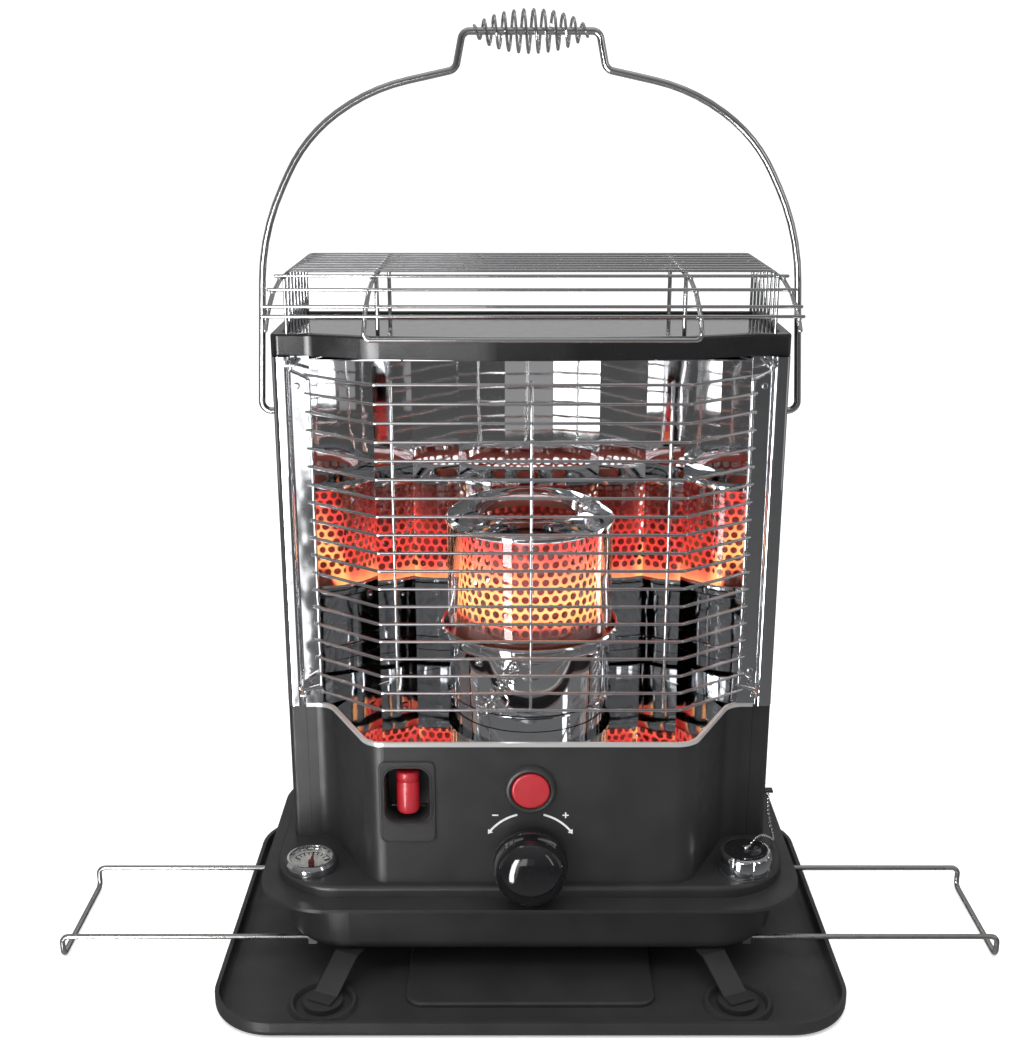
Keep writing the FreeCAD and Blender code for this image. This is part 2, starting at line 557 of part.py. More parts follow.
# ---------------------------------------------------------------- controls
def igniter():
    face, back = PANEL_FACE - 4.5, PANEL_FACE + 2.0
    cap = rod((0, face, BUTTON_Z), (0, back, BUTTON_Z), 13.6)
    cap = cap.makeFillet(1.8, [e for e in cap.Edges if abs(e.BoundBox.Center.y - face) < 0.01])
    stem = rod((0, back, BUTTON_Z), (0, -36.8, BUTTON_Z), 1.8)
    save("igniting_button", cap.fuse(stem))
    outline = [V(r, y, BUTTON_Z) for r, y in
               ((13.9, face + 1.5), (15.2, face), (17.0, face + 0.6), (18.3, PANEL_FACE - 1.0),
                (18.3, PANEL_FACE), (15.9, PANEL_FACE), (15.9, PANEL_FACE + 5), (13.9, PANEL_FACE + 5))]
    bezel = Part.Face(Part.makePolygon(outline + outline[:1])).revolve(V(0, 0, BUTTON_Z), V(0, 1, 0), 360)
    save("button_bezel", bezel)

    pivot_y, pivot_z = -34.8, 120.0
    lever = box((-5, 5), (-35.6, -34.0), (pivot_z - 4, 166.0))
    hub = rod((-6, pivot_y, pivot_z), (6, pivot_y, pivot_z), 3.2)
    plug = rod((0, -34.0, 160.0), (0, -25.0, 160.0), 4.0)
    bore = rod((-9, pivot_y, pivot_z), (9, pivot_y, pivot_z), 1.56)
    save("igniter_arm", lever.fuse(hub).fuse(plug).removeSplitter().cut(bore))
    pin = rod((-9, pivot_y, pivot_z), (9, pivot_y, pivot_z), 1.5)
    cheeks = [box((sx * 8 - 0.75, sx * 8 + 0.75), (PANEL_FACE + 1.2, pivot_y + 4), (pivot_z - 5, pivot_z + 5))
              for sx in (-1, 1)]
    save("igniter_bracket", pin.fuse(cheeks).removeSplitter())


def shutoff():
    half_x, half_z = 15.9, 21.4
    x = (WINDOW_X - half_x, WINDOW_X + half_x)
    z = (WINDOW_Z - half_z, WINDOW_Z + half_z)
    pocket = box(x, (PANEL_FACE, PANEL_FACE + 24), z)
    hollow = box((x[0] + 1, x[1] - 1), (PANEL_FACE - 2, PANEL_FACE + 23), (z[0] + 1, z[1] - 1))
    frame = box((WINDOW_X - 20.2, WINDOW_X + 20.2), (PANEL_FACE - 1.4, PANEL_FACE), (103.5, 166.5))
    frame = frame.makeFillet(4.0, [e for e in frame.Edges if e.BoundBox.YLength > 1.3
                                   and e.BoundBox.XLength < 0.1])
    save("shutoff_bezel", pocket.fuse(frame).cut(hollow))
    low, high, back = 125.0, 157.0, PANEL_FACE + 11
    bar = Part.makeCylinder(7.8, high - low, V(WINDOW_X - 1.0, back - 3.2, low))
    bar = bar.cut(box((WINDOW_X - 20, WINDOW_X + 20), (back, back + 20), (low - 1, high + 1)))
    ridge = box((WINDOW_X - 7.5, WINDOW_X + 5.5), (PANEL_FACE - 0.4, back - 6), (high - 8, high - 6))
    pivot_y, pivot_z = back - 0.5, low + 2
    pivot = rod((x[0] + 1.2, pivot_y, pivot_z), (x[1] - 1.2, pivot_y, pivot_z), 1.6)
    save("shutoff_lever", bar.fuse([ridge, pivot]).removeSplitter())


def batteries():
    x, z = (-155.0, -25.0), (76.0, 116.0)
    case = box((x[0] + 0.3, x[1] - 0.3), (82.0, CABINET_BACK), (z[0] + 0.3, z[1] - 0.3))
    case = case.cut(box((x[0] + 2, x[1] - 2), (83.6, CABINET_BACK + 1), (z[0] + 1.8, z[1] - 1.8)))
    hinge_y, hinge_z = CABINET_BACK + 3.5, 73.5
    pin = rod((-148, hinge_y, hinge_z), (-32, hinge_y, hinge_z), 1.2)
    ears = [box((x0, x0 + 3), (CABINET_BACK, hinge_y + 2), (hinge_z - 2.2, hinge_z + 3.4))
            for x0 in (-149.0, -34.0)]
    save("battery_case", case, pin.fuse(ears).removeSplitter())
    cells = [rod((x0, 100.5, 96.0), (x0 + 58, 100.5, 96.0), 16.2).fuse(
        rod((x0 + 58, 100.5, 96.0), (x0 + 60, 100.5, 96.0), 4.5)) for x0 in (-151.0, -90.0)]
    save("batteries", *cells)
    barrel = rod((-145, hinge_y, hinge_z), (-35, hinge_y, hinge_z), 2.4)
    leaf = box((x[0] - 2, x[1] + 2), (CABINET_BACK + 0.4, hinge_y - 1.5), (z[0] + 2, z[1] + 3))
    tongue = box((-145, -35), (CABINET_BACK + 0.4, hinge_y - 1.5), (hinge_z + 0.6, z[0] + 2))
    web = box((-145, -35), (hinge_y - 2.4, hinge_y), (hinge_z, hinge_z + 4))
    bore = rod((-150, hinge_y, hinge_z), (-30, hinge_y, hinge_z), 1.26)
    save("battery_door", leaf.fuse(tongue).fuse(web).fuse(barrel).removeSplitter().cut(bore))


# ---------------------------------------------------------------- wire guards
def front_guard():
    bend = 6.0
    wires = []
    for k in range(GUARD_COUNT):
        z = GUARD_BOTTOM + GUARD_PITCH * k
        flank = [(-GUARD_END_X - 1.5, GUARD_SIDE + 1.1, z), (-GUARD_FLAT_X, GUARD_FRONT, z),
                 (-GUARD_FLAT_X + 12, GUARD_FRONT, z)]
        wires.append(wire_rod(flank, GUARD_WIRE, bend))
        wires.append(rod(flank[2], (GUARD_FLAT_X - 12, GUARD_FRONT, z), GUARD_WIRE))
        wires.append(wire_rod([(-x, y, h) for x, y, h in flank], GUARD_WIRE, bend))
    save("guard_wires", *wires)

    top = GUARD_BOTTOM + GUARD_PITCH * (GUARD_COUNT - 1)
    behind = 2 * GUARD_WIRE - 0.2
    uprights = [rod((x, GUARD_FRONT + behind, GUARD_BOTTOM - 2), (x, GUARD_FRONT + behind, top + 2),
                    GUARD_WIRE) for x in (-93.0, 0.0, 93.0)]
    pin_bottom, pin_top = GUARD_BOTTOM - 9, BAND_BOTTOM - 2.0
    for side in (-1, 1):
        x, y = side * (GUARD_END_X - 1.0), GUARD_SIDE + behind
        pin_x = side * -HINGE_X
        route = [(pin_x, HINGE_Y, pin_bottom), (pin_x, HINGE_Y, GUARD_BOTTOM - 3.4), (x, y, GUARD_BOTTOM + 3),
                 (x, y, top - 3), (pin_x, HINGE_Y, pin_top - 6.0), (pin_x, HINGE_Y, pin_top)]
        uprights.append(wire_rod(route, GUARD_PIN, [0, 1.6, 3, 3, 1.6, 0]))
    save("guard_uprights", *uprights)


NOSE = [(-23.0, 0.0), (-54.0, -5.0), (-74.0, -13.0), (-82.0, -18.0)]
SILL_Y, SILL_Z = -87.5, 467.0


def top_guard():
    bend, leg_top = 6.0, 14.0
    wires = []
    for k in range(TOP_GUARD_COUNT):
        y = TOP_GUARD_BACK - TOP_GUARD_PITCH * k
        on_lip = k in (0, TOP_GUARD_COUNT - 1)
        start = BAND_TOP if on_lip else TOP_PLATE_Z
        leg = [(-TOP_GUARD_X, y, start), (-TOP_GUARD_X, y, TOP_GUARD_Z),
               (-TOP_GUARD_X + leg_top, y, TOP_GUARD_Z)]
        wires.append(wire_rod(leg, GUARD_WIRE, bend))
        wires.append(rod(leg[2], (TOP_GUARD_X - leg_top, y, TOP_GUARD_Z), GUARD_WIRE))
        wires.append(wire_rod([(-x, v, z) for x, v, z in leg], GUARD_WIRE, bend))
    for y, drop in NOSE:
        wires.append(rod((-TOP_GUARD_X - 1, y, TOP_GUARD_Z + drop),
                         (TOP_GUARD_X + 1, y, TOP_GUARD_Z + drop), GUARD_WIRE))
    save("top_guard_wires", *wires)

    thick = 1.5
    under = GUARD_WIRE + thick - 0.3
    frame = []
    for side in (-1, 1):
        x = side * 105.0
        level = TOP_GUARD_Z - under
        frame.append(wire_rod([(x, 104.0, TOP_PLATE_Z), (x, 104.0, level), (x, 90.0, level)], thick, 5))
        frame.append(rod((x, 90.0, level), (x, 6.0, level), thick))
        frame.append(rod((x, 3.5, TOP_PLATE_Z), (x, 3.5, level - thick), thick))
        for reach in (x, side * (TOP_GUARD_X - 2)):
            nose = [(reach, y + 1.5, z + level) for y, z in NOSE]
            frame.append(wire_rod([(reach, 6.0, level)] + nose + [(reach, SILL_Y, SILL_Z + 6)], thick, 4))
    sill = [(-105.0, SILL_Y, SILL_Z + 6), (-105.0, SILL_Y, SILL_Z), (105.0, SILL_Y, SILL_Z),
            (105.0, SILL_Y, SILL_Z + 6)]
    frame.append(wire_rod(sill, thick, 5))
    save("top_guard_frame", *frame)


# ---------------------------------------------------------------- handle
def handle():
    shoulder_x, shoulder_z, grip_x = 52.0, 630.0, 44.0
    half = [(-CABINET_X + 3.0, HANDLE_Z), (-HANDLE_LEG_X, HANDLE_Z), (-HANDLE_LEG_X + 7, 520.0),
            (-158.0, 585.0), (-112.0, 617.0), (-shoulder_x, shoulder_z), (-grip_x - 3, GRIP_Z)]
    bends = [0, 7, 165, 110, 135, 7, 6]
    points = [(x, HANDLE_Y, z) for x, z in half]
    points = points + [(-x, y, z) for x, y, z in reversed(points)]
    save("handle_wire", wire_rod(points, HANDLE_WIRE, bends + bends[::-1]))

    waist, belly, length, skin = HANDLE_WIRE + 1.7, 15.0, 40.0, 1.6
    centre = [(-length, waist), (-length * 0.6, belly - 3), (0, belly), (length * 0.6, belly - 3),
              (length, waist)]
    outline = [V(x, HANDLE_Y, GRIP_Z + r) for x, r in centre]
    outline += [V(x, HANDLE_Y, GRIP_Z + r - skin) for x, r in reversed(centre)]
    hull = Part.Face(Part.makePolygon(outline + outline[:1]))
    save("grip_coil", hull.revolve(V(0, HANDLE_Y, GRIP_Z), V(1, 0, 0), 360))

    bushes = []
    for side in (-1, 1):
        at = side * CABINET_X
        inside = at - side * SHEET
        tube = rod((inside - side * 1.5, HANDLE_Y, HANDLE_Z), (at + side * 3, HANDLE_Y, HANDLE_Z), 3.6)
        lip = rod((at, HANDLE_Y, HANDLE_Z), (at + side * 3, HANDLE_Y, HANDLE_Z), 6.5)
        bore = rod((-250, HANDLE_Y, HANDLE_Z), (250, HANDLE_Y, HANDLE_Z), HANDLE_WIRE + 0.06)
        bushes.append(tube.fuse(lip).removeSplitter().cut(bore))
    save("handle_bushes", *bushes)


# ---------------------------------------------------------------- chain and screws
CHAIN_RADIUS = 1.2
CHAIN = [(160.6, -40.2, 87.6), (164.5, -36.0, 91.0), (171.5, -29.0, 91.0), (178.5, -21.0, 84.0),
         (183.5, -12.0, 76.0), (185.5, 0.0, 73.5), (184.5, 10.0, 79.5), (183.0, 14.0, 91.5),
         (183.0, 14.0, 104.0)]


def cap_chain():
    bends = [0]
    for i in range(1, len(CHAIN) - 1):
        before, here, after = (V(*CHAIN[k]) for k in (i - 1, i, i + 1))
        turn = math.pi - (before - here).getAngle(after - here)
        shorter = min((before - here).Length, (after - here).Length)
        bends.append(0.45 * shorter / math.tan(turn / 2))
    tube = wire_rod(CHAIN, CHAIN_RADIUS, bends + [0])
    length = sum(e.Length for e in rounded_edges(CHAIN, bends + [0]))
    print("cap_chain length %.1f, least radius %.1f, volume ratio %.4f" % (
        length, min(bends[1:]), tube.Volume / (math.pi * CHAIN_RADIUS ** 2 * length)))
    save("cap_chain", tube)


def screw_head(at, out, radius=3.2, height=1.8):
    """Low domed head standing on a surface point, facing along out."""
    at, out = V(*at), V(*out)
    head = Part.makeCylinder(radius, height, at, out)
    far = at + out * height
    crown = [e for e in head.Edges if e.BoundBox.Center.distanceToPoint(far) < 0.05]
    return head.makeFillet(height * 0.7, crown)


def screw_heads():
    heads = []
    for side in (-1, 1):
        for z in (207.0, 420.0):
            heads.append(screw_head((side * 162.5, POST_FLANGE_Y, z), (0, -1, 0), 2.3, 1.4))
        for y, z in ((30.0, 86.0), (100.0, 86.0), (100.0, 430.0), (30.0, 430.0)):
            heads.append(screw_head((side * CABINET_X, y, z), (side, 0, 0)))
        for z in (130.0, 426.0):
            heads.append(screw_head((side * 168.0, CABINET_BACK, z), (0, 1, 0)))
    save("cabinet_screws", *heads)


drip_tray()
support_legs()
tank_shells()
filler()
fuel_cap()
fuel_gauge()
stabilisers()
side_panels()
back_panel()
top_cover()
front_panel()
posts()
reflector()
wick_parts()
knob_and_shaft()
burner()
igniter()
shutoff()
batteries()
front_guard()
top_guard()
handle()
cap_chain()
screw_heads()
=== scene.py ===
import json
import math
import bmesh
import bpy
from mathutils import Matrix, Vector

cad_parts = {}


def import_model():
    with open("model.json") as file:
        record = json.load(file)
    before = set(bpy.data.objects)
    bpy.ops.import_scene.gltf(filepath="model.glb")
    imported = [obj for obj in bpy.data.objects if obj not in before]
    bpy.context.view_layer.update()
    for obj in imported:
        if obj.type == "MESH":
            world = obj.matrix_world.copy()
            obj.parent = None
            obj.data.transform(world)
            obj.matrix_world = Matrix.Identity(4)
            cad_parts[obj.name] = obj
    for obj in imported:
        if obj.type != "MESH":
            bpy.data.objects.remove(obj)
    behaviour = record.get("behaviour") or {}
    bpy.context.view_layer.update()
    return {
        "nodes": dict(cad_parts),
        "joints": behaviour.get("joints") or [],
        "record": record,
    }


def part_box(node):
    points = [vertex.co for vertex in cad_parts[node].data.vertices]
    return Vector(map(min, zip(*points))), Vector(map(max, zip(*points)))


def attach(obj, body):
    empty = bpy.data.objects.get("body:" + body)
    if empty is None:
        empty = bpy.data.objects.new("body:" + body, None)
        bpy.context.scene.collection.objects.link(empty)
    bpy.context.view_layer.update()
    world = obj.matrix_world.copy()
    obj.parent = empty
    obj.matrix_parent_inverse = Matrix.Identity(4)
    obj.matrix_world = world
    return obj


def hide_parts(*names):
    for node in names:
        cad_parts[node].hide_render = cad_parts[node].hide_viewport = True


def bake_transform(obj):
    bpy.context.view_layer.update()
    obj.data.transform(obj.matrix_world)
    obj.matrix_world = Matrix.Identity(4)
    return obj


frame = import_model()

# Portable kerosene heater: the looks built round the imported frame. Metres, +Z up, +Y to the back.
MM = 0.001
UP = Vector((0, 0, 1))


def span(node):
    low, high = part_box(node)
    return low, high, (low + high) / 2


# ---------------------------------------------------------------- mesh helpers
# A smaller turn than NO_TURN gets no arc, and a smaller radius than ON_AXIS is a point on the axis.
NO_TURN, ON_AXIS = 1e-4, 1e-7
DOME_ANGLES, DOME_HEIGHT = (math.radians(30), math.radians(60)), 0.7
EASED_STEP = math.radians(25)
ROUND, FINE = 72, 96


def bent(points, bends, step=math.radians(12)):
    """The polyline through the points, with an arc of its bend's radius at each inner corner."""
    points = [Vector(p) for p in points]
    if not isinstance(bends, (list, tuple)):
        bends = [bends] * len(points)
    path = [points[0]]
    for before, here, after, radius in zip(points, points[1:], points[2:], bends[1:]):
        back, on = (before - here).normalized(), (after - here).normalized()
        turn = math.pi - back.angle(on)
        if radius <= 0 or turn < NO_TURN:
            path.append(here)
            continue
        cut = radius * math.tan(turn / 2)
        centre = here + (back + on).normalized() * (radius / math.cos(turn / 2))
        start = here + back * cut - centre
        axis = start.cross(here + on * cut - centre).normalized()
        count = max(2, math.ceil(turn / step))
        for k in range(count + 1):
            a = turn * k / count
            path.append(centre + start * math.cos(a) + axis.cross(start) * math.sin(a))
    path.append(points[-1])
    return path


def ring_faces(bm, one, two):
    count = len(one)
    for i in range(count):
        j = (i + 1) % count
        bm.faces.new((one[i], one[j], two[j], two[i]))


def domed(station, way):
    """Two shrinking stations beyond the end of a wire, outermost last."""
    point, tangent, normal, radius = station
    return [(point + tangent * way * radius * math.sin(a) * DOME_HEIGHT, tangent, normal,
             radius * math.cos(a)) for a in DOME_ANGLES]


def sweep(bm, path, radius, sides=12):
    """Round wire of one radius along the path, with domed ends."""
    tangents = []
    for i in range(len(path)):
        tangents.append((path[min(i + 1, len(path) - 1)] - path[max(i - 1, 0)]).normalized())
    normal = tangents[0].orthogonal().normalized()
    stations = []
    for point, tangent in zip(path, tangents):
        normal = (normal - tangent * normal.dot(tangent)).normalized()
        stations.append((point, tangent, normal, radius))
    stations = domed(stations[0], -1)[::-1] + stations + domed(stations[-1], 1)
    rings = []
    for point, tangent, normal, size in stations:
        other = tangent.cross(normal)
        rings.append([bm.verts.new(point + (normal * math.cos(t) + other * math.sin(t)) * size)
                      for t in (2 * math.pi * k / sides for k in range(sides))])
    for one, two in zip(rings, rings[1:]):
        ring_faces(bm, one, two)
    bm.faces.new(rings[0][::-1])
    bm.faces.new(rings[-1])


def blob(bm, centre, size):
    """Small rounded lump, such as a spot weld or a bead."""
    made = bmesh.ops.create_icosphere(bm, subdivisions=2, radius=1)
    for v in made["verts"]:
        v.co = Vector(c * s for c, s in zip(v.co, size)) + centre


def revolve(bm, profile, centre, axis, segments, closed=False):
    """Surface of revolution of (radius, height) points about the axis; closed joins last to first."""
    side = axis.orthogonal().normalized()
    other = axis.cross(side)
    loops = []
    for radius, height in profile:
        at = centre + axis * height
        if radius < ON_AXIS:
            loops.append([bm.verts.new(at)] * segments)
            continue
        loops.append([bm.verts.new(at + (side * math.cos(t) + other * math.sin(t)) * radius)
                      for t in (2 * math.pi * k / segments for k in range(segments))])
    pairs = list(zip(loops, loops[1:]))
    if closed:
        pairs.append((loops[-1], loops[0]))
    for one, two in pairs:
        for i in range(segments):
            j = (i + 1) % segments
            corner = []
            for v in (one[i], one[j], two[j], two[i]):
                if v not in corner:
                    corner.append(v)
            if len(corner) > 2:
                bm.faces.new(corner)


def eased(profile, radius):
    """A closed (radius, height) outline with its corners rounded."""
    points = [Vector((r, 0, h)) for r, h in profile]
    middle = (points[0] + points[-1]) / 2
    path = bent([middle] + points + [middle], radius, EASED_STEP)
    return [(p.x, p.z) for p in path[:-1]]


def plate(bm, outline, depth):
    """Closed plate on a planar outline, thickened by the depth vector."""
    front = [bm.verts.new(p) for p in outline]
    back = [bm.verts.new(p + depth) for p in outline]
    bm.faces.new(front)
    bm.faces.new(back[::-1])
    ring_faces(bm, back, front)


def finished(name, bm, material, body, replaces=(), crease=35):
    """Turns a bmesh into a named piece that rides on a body."""
    bmesh.ops.recalc_face_normals(bm, faces=bm.faces)
    mesh = bpy.data.meshes.new(name)
    bm.to_mesh(mesh)
    bm.free()
    obj = bpy.data.objects.new(name, mesh)
    bpy.context.scene.collection.objects.link(obj)
    mesh.materials.append(material)
    mesh.shade_smooth()
    mesh.set_sharp_from_angle(angle=math.radians(crease))
    if body:
        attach(obj, body)
    if replaces:
        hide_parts(*replaces)
    return obj


# ---------------------------------------------------------------- materials
# Nearly all of a noise texture's values lie between these.
NOISE_LOW, NOISE_HIGH = 0.3, 0.7


def fill_ramp(node, marks):
    """Gives a colour ramp node its (position, colour) marks."""
    elements = node.color_ramp.elements
    while len(elements) < len(marks):
        elements.new(0.5)
    for element, (position, colour) in zip(elements, marks):
        element.position = position
        element.color = (*colour, 1)


class Finish:
    """A Principled material with noise, bump and ramp helpers."""

    def __init__(self, name, colour, roughness, metallic=0.0, **sockets):
        self.material = bpy.data.materials.new(name)
        self.material.use_nodes = True
        self.tree = self.material.node_tree
        self.surface = self.tree.nodes["Principled BSDF"]
        self.set("Base Color", (*colour, 1))
        self.set("Roughness", roughness)
        self.set("Metallic", metallic)
        for socket, value in sockets.items():
            self.set(socket.replace("_", " "), value)
        self.colour = colour

    def set(self, socket, value):
        self.surface.inputs[socket].default_value = value

    def add(self, kind, **values):
        made = self.tree.nodes.new(kind)
        for socket, value in values.items():
            made.inputs[socket.replace("_", " ")].default_value = value
        return made

    def join(self, source, target):
        self.tree.links.new(source, target)

    def noise(self, scale, detail, stretch=(1, 1, 1)):
        where = self.add("ShaderNodeTexCoord")
        mapping = self.add("ShaderNodeMapping", Scale=stretch)
        texture = self.add("ShaderNodeTexNoise", Scale=scale, Detail=detail)
        self.join(where.outputs["Object"], mapping.inputs["Vector"])
        self.join(mapping.outputs["Vector"], texture.inputs["Vector"])
        return texture.outputs[0]

    def between(self, source, low, high, start=NOISE_LOW, end=NOISE_HIGH):
        """The source's start to end, spread over low to high."""
        spread = self.add("ShaderNodeMapRange")
        for socket, value in zip(("From Min", "From Max", "To Min", "To Max"), (start, end, low, high)):
            spread.inputs[socket].default_value = value
        self.join(source, spread.inputs["Value"])
        return spread.outputs["Result"]

    def maths(self, operation, first, second):
        made = self.add("ShaderNodeMath")
        made.operation = operation
        self.join(first, made.inputs[0])
        self.join(second, made.inputs[1])
        return made.outputs["Value"]

    def ramp(self, source, marks):
        made = self.add("ShaderNodeValToRGB")
        fill_ramp(made, marks)
        self.join(source, made.inputs["Fac"])
        return made.outputs["Color"]

    def roughen(self, source, low, high):
        self.join(self.between(source, low, high), self.surface.inputs["Roughness"])

    def tint(self, source, dark, light):
        """Base colour scaled between dark and light by the source."""
        low, high = ([min(c * share, 1) for c in self.colour] for share in (dark, light))
        blended = self.ramp(source, [(NOISE_LOW, low), (NOISE_HIGH, high)])
        self.join(blended, self.surface.inputs["Base Color"])

    def bump(self, source, distance):
        """Relief in metres, on top of any relief already there."""
        relief = self.add("ShaderNodeBump", Strength=1.0, Distance=distance)
        self.join(source, relief.inputs["Height"])
        normal = self.surface.inputs["Normal"]
        if normal.is_linked:
            self.join(normal.links[0].from_socket, relief.inputs["Normal"])
        self.join(relief.outputs["Normal"], normal)


def enamel(name, colour, roughness, peel):
    made = Finish(name, colour, roughness)
    made.tint(made.noise(22, 5), 0.82, 1.12)
    made.roughen(made.noise(60, 4), roughness - 0.05, roughness + 0.06)
    made.bump(made.noise(1500, 2), peel)
    made.bump(made.noise(9, 1), 0.0006)
    return made.material


def plated(name, colour, roughness, ripple=0.0004, ripple_scale=30, haze=0.03):
    made = Finish(name, colour, roughness, metallic=1.0)
    made.roughen(made.noise(120, 4), roughness, roughness + haze)
    made.bump(made.noise(ripple_scale, 2), ripple)
    return made.material


def mirror_sheet():
    """Bright rolled sheet whose long waves run up the panels."""
    made = Finish("mirror_sheet", (0.86, 0.865, 0.875), 0.03, metallic=1.0)
    made.roughen(made.noise(90, 5), 0.015, 0.05)
    made.bump(made.noise(7, 1.5, (1, 1, 0.35)), 0.0022)
    made.bump(made.noise(34, 2, (1, 1, 0.5)), 0.00012)
    return made.material


def brushed(name, colour, roughness):
    made = Finish(name, colour, roughness, metallic=1.0)
    grain = made.noise(1400, 3, (1, 1, 0.02))
    made.tint(made.noise(30, 5), 0.8, 1.08)
    made.roughen(grain, roughness - 0.05, roughness + 0.1)
    made.bump(grain, 0.00003)
    return made.material


def glass():
    made = Finish("heat_glass", (0.985, 0.99, 0.995), 0.0, Transmission_Weight=1.0, IOR=1.46)
    made.roughen(made.noise(70, 4), 0.0, 0.012)
    made.bump(made.noise(16, 1), 0.0002)
    return made.material


def plastic(name, colour, roughness, coat=0.0):
    made = Finish(name, colour, roughness, Coat_Weight=coat, Coat_Roughness=0.05)
    made.tint(made.noise(90, 3), 0.9, 1.06)
    made.roughen(made.noise(150, 4), max(roughness - 0.04, 0.02), roughness + 0.05)
    made.bump(made.noise(900, 2), 0.00002)
    return made.material


def rubber():
    made = Finish("black_rubber", (0.02, 0.02, 0.02), 0.75)
    made.tint(made.noise(200, 4), 0.7, 1.4)
    made.bump(made.noise(700, 3), 0.00008)
    return made.material


def wick_cloth():
    made = Finish("wick_weave", (0.72, 0.69, 0.62), 0.9)
    threads = made.noise(500, 2, (1, 1, 0.25))
    made.tint(threads, 0.6, 1.1)
    made.bump(threads, 0.0004)
    return made.material


def cork():
    made = Finish("float_cork", (0.55, 0.42, 0.25), 0.8)
    grain = made.noise(220, 5)
    made.tint(grain, 0.45, 1.15)
    made.bump(grain, 0.0003)
    return made.material


SKIN_LOW, SKIN_HIGH, SKIN_MIDDLE = span("emitter_cylinder")
# Painted shade on the glow: the back half of the emitter is read up to 0.6 further up the stops, built up
# over 0.4 of the radius behind the middle, so it glows redder and dimmer than the front.
REAR_PAINTED_SHADE, REAR_PAINTED_SHADE_REACH = 0.6, 0.4 * SKIN_HIGH.x
SKIN_INNER, SKIN_OUTER = SKIN_HIGH.x - 0.6 * MM, SKIN_HIGH.x - 0.2 * MM
INNER_SHARE = 0.1


def glow(name, stops, low, high, mottle):
    """Hot metal: emission colour and strength climb with height, in (share, colour, strength) stops.

    Painted shade: the back half is read further up the stops, so it glows redder and dimmer than the front;
    what is inside the skin glows at INNER_SHARE.
    """
    made = Finish(name, (0.30, 0.10, 0.07), 0.6, metallic=0.4)
    where = made.add("ShaderNodeTexCoord").outputs["Object"]
    split = made.add("ShaderNodeSeparateXYZ")
    made.join(where, split.inputs["Vector"])
    height = made.between(split.outputs["Z"], 0.0, 1.0, low, high)
    # Painted shade: nothing at the middle of the cylinder, rising to the full shift at the back, added to the
    # height share.
    rear_painted_shade = made.between(split.outputs["Y"], 0.0, REAR_PAINTED_SHADE, SKIN_MIDDLE.y, SKIN_MIDDLE.y + REAR_PAINTED_SHADE_REACH)
    wobble = made.between(made.noise(45, 3), -mottle, mottle, 0.25, 0.75)
    total = made.maths("ADD", made.maths("ADD", height, rear_painted_shade), wobble)
    reach, strongest = stops[-1][0], max(strength for _, _, strength in stops)
    share = made.between(total, 0.0, 1.0, 0.0, reach)
    colour = made.ramp(share, [(at / reach, tone) for at, tone, _ in stops])
    power = made.ramp(share, [(at / reach, [strength / strongest] * 3) for at, _, strength in stops])
    flat = made.add("ShaderNodeVectorMath")
    flat.operation = "MULTIPLY_ADD"
    flat.inputs[1].default_value = (1, 1, 0)
    flat.inputs[2].default_value = (0, -SKIN_MIDDLE.y, 0)
    radial = made.add("ShaderNodeVectorMath")
    radial.operation = "LENGTH"
    made.join(where, flat.inputs[0])
    made.join(flat.outputs["Vector"], radial.inputs[0])
    outward = made.between(radial.outputs["Value"], INNER_SHARE * strongest, strongest,
                           SKIN_INNER, SKIN_OUTER)
    made.join(colour, made.surface.inputs["Emission Color"])
    made.join(made.maths("MULTIPLY", power, outward), made.surface.inputs["Emission Strength"])
    return made.material


# Stops well past 1.0 are reached only where the painted shade of the back half is added.
EMITTER_STOPS = [(0.00, (0.30, 0.02, 0.01), 0.02), (0.17, (0.5, 0.02, 0.01), 0.06),
                 (0.21, (0.95, 0.08, 0.05), 0.8), (0.27, (1.0, 0.36, 0.10), 1.7),
                 (0.40, (1.0, 0.46, 0.14), 1.9), (0.60, (1.0, 0.40, 0.13), 1.8),
                 (0.73, (1.0, 0.20, 0.09), 1.6), (0.85, (0.95, 0.06, 0.05), 1.3),
                 (1.10, (0.85, 0.04, 0.03), 1.2), (1.35, (0.5, 0.02, 0.02), 0.3),
                 (1.60, (0.3, 0.01, 0.01), 0.03)]
CORE_STOPS = [(0.0, (0.20, 0.01, 0.01), 1.0), (0.4, (0.60, 0.03, 0.03), 4.5), (1.0, (0.35, 0.01, 0.01), 1.2),
              (1.6, (0.2, 0.01, 0.01), 0.2)]

